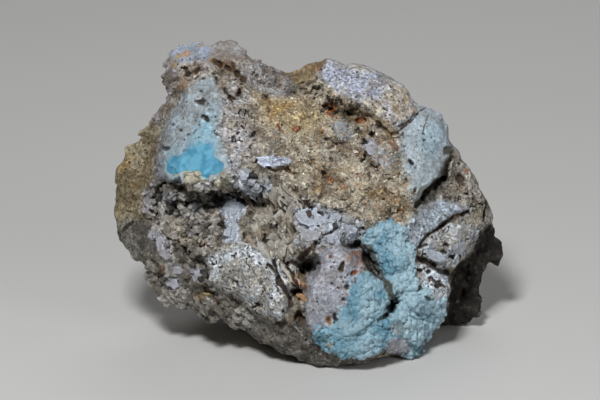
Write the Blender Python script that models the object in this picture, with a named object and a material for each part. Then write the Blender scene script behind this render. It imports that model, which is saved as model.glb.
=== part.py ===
"""Hand specimen of hemimorphite: one natural piece of pale rock with a blue crust.

The display face is drawn in its own plane: x to the right, u up the face and f forward,
out of the face. The stone then leans back on the flat of its underside. Metres, +Z up.
"""

import math
import random

import bmesh
import bpy
import numpy as np
from mathutils import Matrix, Vector, kdtree, noise

MM = 0.001

# Driving dimensions, in millimetres and degrees
FACE_WIDTH = 100.0
FACE_LEAN = 20.0
EDGE_POWER = 2.5
FORM_DIVISIONS = 7
FORM_VOXEL = 0.85
TRIANGLES = 9700
CUTTER_DEPTH = 40.0

# Where the middle of the face stands once the stone rests on its base
FACE_CENTRE = Vector((-0.0010, 0.0017, 0.033))

# Outline of the display face as (x, u), drawn clockwise from the horn at the upper left
DRAWN_WIDTH = 99.8
OUTLINE = [
    (-33.0, 39.2), (-28.5, 41.0), (-17.0, 41.5), (-11.2, 36.8), (-5.0, 33.0),
    (-1.2, 34.8), (3.2, 35.8), (12.0, 35.5), (19.5, 34.0), (25.0, 30.8),
    (27.5, 27.5), (31.0, 23.8), (35.5, 21.5), (37.0, 15.5), (40.0, 12.0),
    (44.0, 6.0), (46.5, -0.5), (48.5, -6.0), (50.8, -11.3), (48.8, -14.5),
    (45.8, -16.5), (45.3, -24.0), (43.5, -28.2), (40.5, -30.3), (35.5, -31.0),
    (31.5, -34.0), (29.5, -38.0), (25.0, -38.8), (18.5, -38.8), (15.0, -39.2),
    (8.8, -41.0), (2.8, -40.6), (-4.0, -38.0), (-11.0, -34.5), (-18.0, -30.0),
    (-26.5, -27.6), (-32.5, -25.2), (-38.6, -21.0), (-39.6, -16.8), (-43.8, -13.2),
    (-48.2, -7.0), (-49.0, 0.0), (-48.2, 8.8), (-46.2, 14.2), (-41.5, 17.0),
    (-38.8, 20.8), (-35.8, 26.2), (-35.5, 34.6),
]

# How far forward the rim of the face lies, as (angle round the face in degrees, f)
RIM = [
    (-180, -4), (-150, 3), (-125, 8), (-100, 15), (-80, 15), (-62, 12),
    (-45, -11), (-32, -12), (-12, -15), (-2, -10), (20, -6), (60, -6), (100, -9), (140, -4),
]

# Relief of the display face as (x, u, f)
RELIEF = {
    "horn": [(-31, 36, 4), (-25, 36, 7), (-17, 37, 4), (-15, 29, 10)],
    "blue_patch_face": [
        (-26, 29, 13), (-31, 24, 14), (-26, 21, 19), (-17, 21, 17),
        (-31, 15, 20), (-25, 11, 23), (-20, 9, 24), (-34, 8, 20),
    ],
    "saddle": [(-11, 30, 4), (-5, 29, 4), (-1, 31, 3)],
    "basin": [
        (-1, 24, 8), (6, 22, 7), (-7, 20, 13), (4, 14, 12), (14, 15, 11),
        (-9, 11, 19), (-1, 4, 19), (11, 4, 17), (24, 3, 15), (23, 11, 13),
    ],
    "upper_dome": [(9, 31, 7), (19, 29, 9), (14, 25, 14), (24, 24, 11)],
    "pale_plane": [(31, 20, 8), (28, 15, 14), (35, 15, 9), (31, 7, 15), (26, 5, 16)],
    "right_ridges": [
        (39, 6, 4), (42, -1, 7), (34, -1, 11), (45, -6, 5), (37, -8, 15),
        (30, -14, 15), (26, -6, 16), (38, -14, 12), (44, -24, 15), (40, -30, 15),
    ],
    "blue_crust": [
        (19, -7, 17), (20, -14, 19), (26, -21, 20), (31, -25, 19), (24, -30, 22),
        (16, -26, 26), (14, -34, 24), (26, -36, 18), (33, -20, 17),
    ],
    "lilac_block": [(6, -14, 27), (4, -24, 28), (10, -20, 27), (5, -32, 25)],
    "middle": [
        (-11, 1, 17), (-16, -6, 20), (-6, -9, 23), (1, -5, 22), (-16, -16, 25),
        (-9, -21, 27), (-4, -29, 26),
    ],
    "recess": [
        (-31, 1, 13), (-22, 1, 14), (-14, 4, 15), (-26, -6, 17), (-32, -9, 13),
        (-25, -15, 20), (-31, -16, 13),
    ],
    "left_shoulder": [(-44, 11, 3), (-45, 1, 4), (-40, -6, 7), (-39, 9, 6), (-38, 17, 5)],
    "lower_flank": [(-31, -22, 8), (-21, -26, 12), (-11, -32, 16), (-1, -37, 20), (9, -39, 19)],
}
RELIEF_SPREAD = 4.2

# Thickness behind the face as (x, u, f)
BACK = [
    (-28, 34, -15), (-5, 24, -22), (20, 24, -24), (38, 8, -29), (46, -10, -40), (44, -22, -38),
    (36, -24, -33), (8, -30, -32), (-15, -24, -32), (-32, -12, -25), (-44, 4, -20),
    (-18, 2, -31), (10, 0, -33), (26, -4, -32),
]
BACK_SPREAD = 11.0

# Weight of far points in a blend, next to 1 for a point that is met
FAR_WEIGHT = 1e-4

# Ledges and grooves fade in over this length at both ends of their line
LINE_TAPER = 3.0

# A ledge's step, measured across its line, and the share of its run that stays low
LEDGE_STEP = (-0.5, 0.9)
LEDGE_FLOOR = 0.15

# Ledges: the ground falls away by drop on the right hand of each line and comes back over run
LEDGES = [
    ("under_blue_patch", [(-37, 7), (-33, 5.2), (-27, 4.2), (-22, 3.8), (-18, 3.8), (-15, 2.2),
                          (-12, 2.0), (-10, 3.8)], 8.0, 13.0),
    ("left_of_blue_patch", [(-37, 6), (-36.5, 15), (-34, 21.5), (-29.5, 28.5)], -6.0, 11.0),
    ("under_upper_dome", [(3, 32), (5, 27), (12, 24.5), (18.5, 21), (22.3, 17.8)], 5.5, 9.0),
    ("dome_crack", [(22.3, 17.8), (27.8, 23.8), (30.5, 26)], 2.2, 5.0),
    ("right_of_pale_plane", [(38.5, 17), (36.6, 11.5), (34.5, 7.2), (30.2, 4), (27, 0.5)], -6.0, 9.0),
    ("overhang", [(49.5, -3.5), (45, -5.8), (42.5, -9.2), (39.8, -12.2), (36.8, -16), (33.8, -17)],
     -16.0, 46.0),
    ("right_of_blue_crust", [(35.8, -18.2), (35.8, -23.8), (34.6, -27.8), (32, -31.8), (30, -34.5),
                             (29.6, -38.5)], -22.0, 46.0),
    ("left_of_lilac_block", [(9.2, -10.2), (5.2, -12.8), (2.8, -15.2), (0.3, -18.8), (-0.3, -23.8),
                             (0.3, -31)], 4.0, 6.0),
    ("right_of_lilac_block", [(6.5, -10.2), (12.5, -10.2), (15.5, -13.2), (17, -17), (20, -19.5)],
     -4.0, 5.0),
]

# Grooves as (name, line, half width, depth)
GROOVES = [
    ("crescent", [(11, -10.2), (14.2, -11.5), (16, -14.5), (18, -17.2), (20.2, -19.5)], 1.3, 5.0),
    ("ridge_valley", [(41, -1.5), (36, -4.5), (30.5, -7.8), (28.2, -10.8)], 1.2, 2.6),
    ("lower_ridge", [(27.5, -12.5), (33.5, -15), (37, -15.8)], 0.9, 1.8),
    ("below_lozenge", [(-17, 3.5), (-14, 1.8), (-11.5, 2.5), (-9.8, 4.6)], 1.2, 3.4),
    ("middle_split", [(-5.5, -12), (-4.5, -18), (-2.6, -24), (-1.4, -29.5)], 0.9, 3.0),
    ("left_slot", [(-18.2, -15.5), (-17.6, -19), (-18.2, -21.5)], 0.8, 3.0),
    ("saddle_hollow", [(-15, 33.5), (-11, 31), (-8, 28.5)], 1.8, 3.0),
]

# Where a hole's wall starts and ends, as shares of the way from its middle to its rim
HOLE_WALL = (0.35, 1.15)

# Holes as (name, middle, half length, half width, turn in degrees, depth)
HOLES = [
    ("rusty_hole", (0.8, -15.6), 4.2, 2.6, 25, 11.0),
    ("rusty_hollow", (-2.2, -20.8), 2.6, 2.2, -50, 5.0),
    ("green_hole", (21.5, -24.2), 3.8, 2.2, 75, 8.5),
    ("dome_cave", (6.2, 23.4), 3.2, 2.0, -30, 4.0),
    ("cave_under_dome", (13.6, 20.2), 2.6, 1.6, -30, 3.6),
    ("basin_pit", (14.6, 11.8), 1.7, 1.3, 60, 3.2),
    ("ledge_cave", (-23.0, 1.8), 5.0, 2.2, 0, 3.5),
    ("ledge_cave_left", (-32.5, 0.5), 3.0, 2.6, 20, 3.4),
    ("flank_slot", (-34.2, -18.2), 2.4, 1.2, -60, 3.0),
    ("foot_pit", (-1.2, -28.2), 1.2, 3.0, 20, 3.4),
    ("patch_pit", (-23.6, 21.2), 1.2, 0.9, 0, 2.4),
    ("back_recess", (39.5, -20.0), 6.0, 3.4, -62, 8.0),
]

# Lumps standing on the face as (middle, radius, height)
LUMPS = [
    ((9.6, 18.6), 3.2, 2.6), ((18.2, 13.2), 3.4, 2.4), ((21.5, 10.2), 2.6, 1.4),
    ((-14.6, 5.4), 2.8, 2.0), ((-19.5, 6.0), 2.6, 1.2), ((-25.2, -2.6), 2.4, 2.2),
    ((-27.5, -6.8), 3.0, 2.4), ((-19.5, -1.5), 2.2, 1.6), ((-30.8, -4.0), 2.2, 1.4),
    ((-7.0, 11.2), 3.6, 1.6), ((-17.2, -2.4), 3.2, 1.6), ((-36.0, -10.6), 2.6, 1.6),
    ((-24.4, -19.6), 3.6, 1.8), ((25.8, -30.8), 3.4, 1.8), ((17.6, -23.6), 3.2, 1.2),
    ((27.8, -23.0), 3.0, 1.2), ((21.6, -12.6), 3.2, 1.0),
]

# Broken faces that bound the back, as (direction it faces as x, u, f, distance from the middle).
# They take away nearly all that lies beyond them, and start behind the rim
BREAKS = [
    ((-0.55, 0.30, -0.78), 30.0), ((0.30, 0.62, -0.72), 28.0), ((0.78, -0.05, -0.62), 41.0),
    ((-0.72, -0.28, -0.64), 36.0), ((0.08, 0.10, -0.99), 29.0), ((-0.10, -0.50, -0.86), 34.5),
    ((0.45, -0.45, -0.77), 44.0), ((-0.30, 0.80, -0.52), 34.0),
]
BREAK_SHARPNESS = 0.9
BREAKS_START = 0.45

# Rounded growths of the blue crust: where they grow as (x, u), their radii and how many
CRUST = [
    (14.5, -8.5), (20, -4.5), (27, -5.5), (25.5, -12), (29.5, -17), (35, -19), (35, -25),
    (30.5, -33), (28, -38), (20, -35), (12, -38), (6, -34), (9, -27.5), (13.5, -20), (17, -18),
]
CRUST_RADII = (1.7, 3.1)
CRUST_RISE = 0.55
CRUST_COUNT = 170
SEED = 11

# How much of the fine relief the front and the back keep, next to the crust's 1. The two blend
# where the surface faces sideways, by the f of its normal
DETAIL_GROUP = "fine relief kept"
SIDE_FACING = (-0.3, 0.3)
FRONT_DETAIL = 0.6
BACK_DETAIL = 0.4

# Swells of the broken rock, as (size, height)
SWELLS = [(13.0, 0.9), (5.0, 0.5)]

# Blocks that the rock breaks into, as (size, depth of the gaps, steepest tilt), and how wide
# the gaps are as a share of the blocks' size
BLOCKS = [(9.5, 1.0, 0.32), (4.2, 0.5, 0.26)]
GAP_WIDTH = 0.45

# Zones of the face that are smoother than the rest, and their share of the blocks' relief
CALM_SHARE = 0.22
CALM = {
    "blue_patch_face": [(-36, 7), (-35, 20), (-29, 28), (-20, 24), (-17, 12), (-19, 5), (-28, 5)],
    "upper_dome": [(3, 31), (12, 35), (24, 31), (29, 24), (23, 19), (14, 24), (7, 27)],
    "pale_plane": [(29, 25), (36, 20), (37, 13), (33, 6), (28, 3), (24, 12), (25, 19)],
    "lilac_block": [(6, -11), (13, -12), (14, -19), (9, -26), (7, -33), (1, -32), (1, -20)],
    "blue_crust": CRUST,
}


def smooth(edge_0, edge_1, value):
    """0 below edge_0, 1 above edge_1 and an even curve between them."""
    t = np.clip((value - edge_0) / (edge_1 - edge_0), 0, 1)
    return t * t * (3 - 2 * t)


def outline_radius(angle):
    """Distance from the middle of the face to its outline, at each angle in radians."""
    points = np.array(OUTLINE, float) * (FACE_WIDTH / DRAWN_WIDTH)
    angles = np.arctan2(points[:, 1], points[:, 0])
    order = np.argsort(angles)
    return np.interp(angle, angles[order], np.hypot(*points.T)[order], period=2 * math.pi)


def rim_forward(angle):
    """How far forward the rim lies at each angle in radians."""
    angles, forward = np.array(RIM, float).T
    return np.interp(np.degrees(angle), angles, forward, period=360)


def blended(x, u, points, spread):
    """The f of hand-placed points, blended smoothly between them."""
    points = np.array(points, float)
    near = (x[:, None] - points[:, 0]) ** 2 + (u[:, None] - points[:, 1]) ** 2
    weight = np.exp(-near / (2 * spread**2)) + FAR_WEIGHT / (1 + near)
    return (weight * points[:, 2]).sum(1) / weight.sum(1)


def along_line(x, u, line):
    """Distance to a line of points, the side (+1 on its right hand), and a taper at its ends."""
    points = np.array(line, float)
    lengths = np.hypot(*np.diff(points, axis=0).T)
    starts = np.concatenate([[0], np.cumsum(lengths)])
    best = np.full(len(x), np.inf)
    side = np.ones(len(x))
    place = np.zeros(len(x))
    for (ax, au), (bx, bu), length, start in zip(points[:-1], points[1:], lengths, starts):
        dx, du = (bx - ax) / length, (bu - au) / length
        t = np.clip((x - ax) * dx + (u - au) * du, 0, length)
        gap = np.hypot(x - ax - t * dx, u - au - t * du)
        closer = gap < best
        best = np.where(closer, gap, best)
        side = np.where(closer, np.sign((x - ax) * du - (u - au) * dx), side)
        place = np.where(closer, start + t, place)
    end = min(LINE_TAPER, starts[-1] / 3)
    taper = smooth(0, end, place) * smooth(0, end, starts[-1] - place)
    return best, side, taper


def ledge(x, u, line, drop, run):
    """Ground that falls away on one side of a line. A negative drop falls on its left hand."""
    gap, side, taper = along_line(x, u, line)
    low_side = gap * side * math.copysign(1, drop)
    fallen = smooth(*LEDGE_STEP, low_side) * (1 - smooth(LEDGE_FLOOR * run, run, low_side))
    return -abs(drop) * fallen * taper


def groove(x, u, line, half_width, depth):
    """A crack that follows a line."""
    gap, _, taper = along_line(x, u, line)
    return -depth * np.exp(-((gap / half_width) ** 2)) * taper


def hole(x, u, middle, half_length, half_width, turn, depth):
    """An oval pit with steep walls."""
    c, s = math.cos(math.radians(turn)), math.sin(math.radians(turn))
    dx, du = x - middle[0], u - middle[1]
    reach = np.hypot((dx * c + du * s) / half_length, (du * c - dx * s) / half_width)
    return -depth * (1 - smooth(*HOLE_WALL, reach))


def lump(x, u, middle, radius, height):
    """A rounded lump on the face."""
    reach = np.hypot(x - middle[0], u - middle[1]) / radius
    return height * np.sqrt(np.clip(1 - reach**2, 0, 1))


def face_forward(x, u):
    """Height of the display face at each (x, u)."""
    forward = blended(x, u, [p for zone in RELIEF.values() for p in zone], RELIEF_SPREAD)
    forward = forward + np.min([ledge(x, u, *shape) for _, *shape in LEDGES], axis=0)
    for _, line, half_width, depth in GROOVES:
        forward = forward + groove(x, u, line, half_width, depth)
    for _, *shape in HOLES:
        forward = forward + hole(x, u, *shape)
    for shape in LUMPS:
        forward = forward + lump(x, u, *shape)
    return forward


def inside(x, u, outline):
    """Whether each point lies inside a closed outline."""
    found = np.zeros(len(x), bool)
    for (ax, au), (bx, bu) in zip(outline, outline[1:] + outline[:1]):
        crosses = (au > u) != (bu > u)
        found ^= crosses & (x < ax + (bx - ax) * (u - au) / ((bu - au) or 1e-9))
    return found


def coordinates(mesh):
    """The mesh's vertices as an array, one row each."""
    points = np.empty(len(mesh.vertices) * 3, np.float32)
    mesh.vertices.foreach_get("co", points)
    return points.reshape(-1, 3).astype(float)


def set_coordinates(mesh, points):
    """Moves the mesh's vertices to the rows of an array."""
    mesh.vertices.foreach_set("co", points.astype(np.float32).ravel())
    mesh.update()


def general_form():
    """The whole stone in face coordinates: a ball pressed into the outline and the two reliefs."""
    bm = bmesh.new()
    bmesh.ops.create_icosphere(bm, subdivisions=FORM_DIVISIONS, radius=1)
    mesh = bpy.data.meshes.new("general_form")
    bm.to_mesh(mesh)
    bm.free()

    ball = coordinates(mesh)
    angle = np.arctan2(ball[:, 1], ball[:, 0])
    across = np.hypot(ball[:, 0], ball[:, 1])
    toward = np.abs(ball[:, 2])
    norm = (across**EDGE_POWER + toward**EDGE_POWER) ** (1 / EDGE_POWER)
    across, toward = across / norm, toward / norm
    radius = outline_radius(angle) * across
    x, u = radius * np.cos(angle), radius * np.sin(angle)
    front = face_forward(x, u)
    back = blended(x, u, BACK, BACK_SPREAD)
    surface = np.where(ball[:, 2] > 0, front, back)
    f = rim_forward(angle) * (1 - toward) + surface * toward
    points = np.column_stack([x, u, f])
    behind = np.where(ball[:, 2] > 0, 0, smooth(0, BREAKS_START, toward))
    for direction, distance in BREAKS:
        normal = np.array(direction) / np.linalg.norm(direction)
        beyond = np.clip(points @ normal - distance, 0, None) * behind
        points -= BREAK_SHARPNESS * beyond[:, None] * normal
    set_coordinates(mesh, points)
    return mesh


def evaluated(obj):
    """The object's mesh with its modifiers applied."""
    bpy.context.view_layer.update()
    graph = bpy.context.evaluated_depsgraph_get()
    return bpy.data.meshes.new_from_object(obj.evaluated_get(graph))


def evened(mesh):
    """The same form with faces of an even size."""
    form = bpy.data.objects.new("form", mesh)
    bpy.context.scene.collection.objects.link(form)
    remesh = form.modifiers.new("even faces", "REMESH")
    remesh.mode = "VOXEL"
    remesh.voxel_size = FORM_VOXEL
    result = evaluated(form)
    bpy.data.objects.remove(form)
    return result


def normals_of(mesh):
    """The vertex normals as an array, one row each."""
    normals = np.empty(len(mesh.vertices) * 3, np.float32)
    mesh.vertex_normals.foreach_get("vector", normals)
    return normals.reshape(-1, 3).astype(float)


def tree_of(points):
    """The points in a form that finds the nearest ones quickly."""
    tree = kdtree.KDTree(len(points))
    for i, point in enumerate(points):
        tree.insert(point, i)
    tree.balance()
    return tree


def swell(mesh):
    """Waves the smooth form gently."""
    points, normals = coordinates(mesh), normals_of(mesh)
    height = np.zeros(len(points))
    for size, reach in SWELLS:
        for i, point in enumerate(points):
            height[i] += reach * noise.noise(Vector(point) / size, noise_basis="PERLIN_NEW")
    set_coordinates(mesh, points + height[:, None] * normals)


def break_up(mesh, size, gap, tilt, dice):
    """Breaks the surface into blocks with tilted tops and gaps between them."""
    points, normals = coordinates(mesh), normals_of(mesh)
    area = sum(face.area for face in mesh.polygons)
    seeds = dice.sample(range(len(points)), int(area / size**2))
    tree = tree_of(points[seeds])
    slopes = np.array([[dice.uniform(-tilt, tilt) for _ in range(3)] for _ in seeds])
    tops = np.array([dice.uniform(-0.5, 0.5) * gap for _ in seeds])
    height = np.empty(len(points))
    for i, point in enumerate(points):
        (middle, seed, near), (_, _, next_near) = tree.find_n(point, 2)
        top = tops[seed] + slopes[seed] @ (point - np.array(middle))
        t = min(1, (next_near - near) / (GAP_WIDTH * size))
        height[i] = top * t - gap * (1 - t) ** 2
    share = np.ones(len(points))
    for outline in CALM.values():
        calm = inside(points[:, 0], points[:, 1], outline) & (normals[:, 2] > 0)
        share[calm] = CALM_SHARE
    set_coordinates(mesh, points + (height * share)[:, None] * normals)


def grow_crust(mesh, dice):
    """Adds the rounded growths of the blue crust, fused to the stone."""
    points, normals = coordinates(mesh), normals_of(mesh)
    grows = np.flatnonzero(inside(points[:, 0], points[:, 1], CRUST) & (normals[:, 2] > 0))
    tree = tree_of(points)
    height = np.zeros(len(points))
    for _ in range(CRUST_COUNT):
        middle = points[grows[dice.randrange(len(grows))]]
        radius = dice.uniform(*CRUST_RADII)
        for _, i, gap in tree.find_range(middle, radius):
            height[i] = max(height[i], CRUST_RISE * radius * math.sqrt(1 - (gap / radius) ** 2))
    set_coordinates(mesh, points + height[:, None] * normals)


def keep_detail(stone):
    """Marks how much of the fine relief each zone keeps: most in the crust, least at the back."""
    points, normals = coordinates(stone.data), normals_of(stone.data)
    crust = inside(points[:, 0], points[:, 1], CRUST) & (normals[:, 2] > 0)
    kept = BACK_DETAIL + (FRONT_DETAIL - BACK_DETAIL) * smooth(*SIDE_FACING, normals[:, 2])
    kept[crust] = 1.0
    group = stone.vertex_groups.new(name=DETAIL_GROUP)
    for i, share in enumerate(kept):
        group.add([i], float(share), "REPLACE")


def stand(mesh):
    """Turns the face from its own plane to the way it stands, in metres."""
    upright = Matrix(((1, 0, 0), (0, 0, -1), (0, 1, 0))).to_4x4()
    lean = Matrix.Rotation(-math.radians(FACE_LEAN), 4, "X")
    mesh.transform(lean @ upright @ Matrix.Scale(MM, 4))


def floor_cutter():
    """The space under the stone, which cuts its underside flat."""
    half, deep = FACE_WIDTH * MM, CUTTER_DEPTH * MM
    bm = bmesh.new()
    bmesh.ops.create_cube(bm, size=1)
    bmesh.ops.scale(bm, vec=(2 * half, 2 * half, deep), verts=bm.verts)
    mesh = bpy.data.meshes.new("floor_cutter")
    bm.to_mesh(mesh)
    bm.free()
    cutter = bpy.data.objects.new("floor_cutter", mesh)
    cutter.location.z = -deep / 2
    cutter.hide_render = True
    cutter.display_type = "WIRE"
    bpy.context.scene.collection.objects.link(cutter)
    return cutter


def rock_material():
    """Pale grey rock with a faint warm cast."""
    material = bpy.data.materials.new("hemimorphite_rock")
    material.use_nodes = True
    shader = material.node_tree.nodes["Principled BSDF"]
    shader.inputs["Base Color"].default_value = (0.36, 0.36, 0.33, 1)
    shader.inputs["Roughness"].default_value = 0.85
    shader.inputs["Metallic"].default_value = 0.0
    return material


def build():
    """Makes the specimen, standing on its base."""
    for old in list(bpy.data.objects):
        bpy.data.objects.remove(old)

    dice = random.Random(SEED)
    mesh = evened(general_form())
    swell(mesh)
    for block in BLOCKS:
        break_up(mesh, *block, dice)
    grow_crust(mesh, dice)
    mesh.name = "hemimorphite"
    mesh.materials.append(rock_material())

    stone = bpy.data.objects.new("hemimorphite", mesh)
    keep_detail(stone)
    stand(mesh)
    stone.location = FACE_CENTRE
    bpy.context.scene.collection.objects.link(stone)
    thin_out = stone.modifiers.new("fewer faces where it is flat", "DECIMATE")
    thin_out.ratio = TRIANGLES / sum(len(face.vertices) - 2 for face in mesh.polygons)
    thin_out.vertex_group = DETAIL_GROUP
    thin_out.vertex_group_factor = 1.0
    thin_out.invert_vertex_group = True
    rest = stone.modifiers.new("flat underside", "BOOLEAN")
    rest.operation = "DIFFERENCE"
    rest.solver = "EXACT"
    rest.object = floor_cutter()


build()
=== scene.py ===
"""Looks of the hemimorphite specimen: pale pitted rock, a sky-blue patch and a turquoise crust.

Shapes are worked out in the plane of the display face, in millimetres: x to the right, u up the
face and f forward, out of the face. The pieces are then turned and moved to where the stone stands.
"""

import itertools
import math
import random

import bmesh
import bpy
import numpy as np
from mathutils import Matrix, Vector
from mathutils.bvhtree import BVHTree


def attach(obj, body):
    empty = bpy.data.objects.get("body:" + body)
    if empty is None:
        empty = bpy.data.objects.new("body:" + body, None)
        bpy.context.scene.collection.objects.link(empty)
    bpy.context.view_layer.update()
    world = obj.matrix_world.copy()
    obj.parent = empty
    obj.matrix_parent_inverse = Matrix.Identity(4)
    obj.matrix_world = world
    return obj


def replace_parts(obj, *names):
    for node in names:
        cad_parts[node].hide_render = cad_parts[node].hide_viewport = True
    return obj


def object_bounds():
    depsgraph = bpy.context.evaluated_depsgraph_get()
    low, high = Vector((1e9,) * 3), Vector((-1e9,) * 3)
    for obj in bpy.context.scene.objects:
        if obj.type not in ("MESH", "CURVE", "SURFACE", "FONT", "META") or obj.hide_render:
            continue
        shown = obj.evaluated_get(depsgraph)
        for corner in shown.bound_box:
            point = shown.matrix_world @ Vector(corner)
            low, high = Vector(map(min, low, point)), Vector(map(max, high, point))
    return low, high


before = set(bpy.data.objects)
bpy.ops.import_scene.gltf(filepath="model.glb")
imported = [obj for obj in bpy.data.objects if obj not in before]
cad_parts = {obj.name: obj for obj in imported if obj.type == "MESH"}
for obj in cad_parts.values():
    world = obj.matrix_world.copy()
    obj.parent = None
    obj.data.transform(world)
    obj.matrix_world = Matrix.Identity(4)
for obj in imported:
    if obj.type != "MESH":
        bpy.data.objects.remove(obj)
CAD_BOX = [list(corner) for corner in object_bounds()]

NODE = "hemimorphite"
BODY = "root"
MM = 0.001

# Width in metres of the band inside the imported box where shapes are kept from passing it
RIM = 0.0015

# How the display face stands: its lean in degrees, and its middle in millimetres
FACE_LEAN = 20.0
FACE_CENTRE = np.array((-1.0, 1.7, 33.0))

# Mesh sizes in millimetres, and triangles that each piece may have
FORM_VOXEL = 0.7
CARVE_VOXEL = 0.45
ROCK_VOXEL = 0.27
CRUST_VOXEL = 0.17
PLATE_VOXEL = 0.18
ROCK_TRIANGLES = 550000
CRUST_TRIANGLES = 150000
PLATE_TRIANGLES = 70000

# Multipliers that tell the cells of a random lattice apart, and the seed's own multiplier and shift
LATTICE_PRIMES = (73856093, 19349663, 83492791)
LATTICE_SALT = (40503, 977)

# Multipliers that scramble a 32-bit number
SCRAMBLERS = (0x2C1B3C6D, 0x297A2D39)

# Levels of how many of its faces a place keeps when a mesh is thinned
KEEP_STEPS = 12

# Planes across the face at which the rock is cut into pieces, by x
CUTS = (-14.0, 13.0)

# Shells with fewer faces than this are crumbs of the remeshing
SMALLEST_SHELL = 60

# Blue patch on the upper left, a smooth thin coat, as (x, u)
SKY_PATCH = [
    (-28.8, 14.4), (-30.0, 13.0), (-31.2, 12.3), (-33.3, 12.3), (-34.4, 10.9), (-34.6, 8.8),
    (-33.6, 7.9), (-32.1, 7.6), (-30.4, 8.3), (-28.3, 8.3), (-26.9, 8.3), (-25.8, 7.3), (-24.6, 6.2),
    (-22.9, 6.9), (-21.7, 7.7), (-20.2, 8.3), (-20.0, 9.8), (-21.2, 11.0), (-22.3, 11.9),
    (-22.2, 13.8), (-22.9, 15.1), (-24.2, 15.6), (-26.2, 15.5), (-27.8, 15.3),
]

# Where the turquoise crust grows
CRUST = [
    (14.0, -8.0), (18.0, -4.6), (21.5, -4.3), (24.5, -6.2), (25.4, -8.5), (26.6, -12.0),
    (27.2, -15.5), (27.4, -20.5), (31.0, -23.5), (34.6, -24.0), (34.6, -28.0), (31.4, -32.0),
    (29.8, -36.5), (27.0, -38.4), (25.0, -36.5), (20.0, -35.0), (16.0, -37.0), (11.0, -37.5),
    (6.0, -35.8), (2.6, -33.6), (2.2, -31.0), (6.0, -30.5), (9.4, -28.0), (11.2, -24.5),
    (12.0, -20.5), (13.6, -17.5), (15.4, -16.6), (18.4, -19.0), (17.4, -13.0), (14.6, -10.6),
]

# What a zone of the face has, after its outline: two colours (sRGB), and how blocky, pitted, sugary
# and cracked in short curves its surface is
TRAITS = ("first tone", "second tone", "broken", "pitted", "sugary", "wormy")

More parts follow.
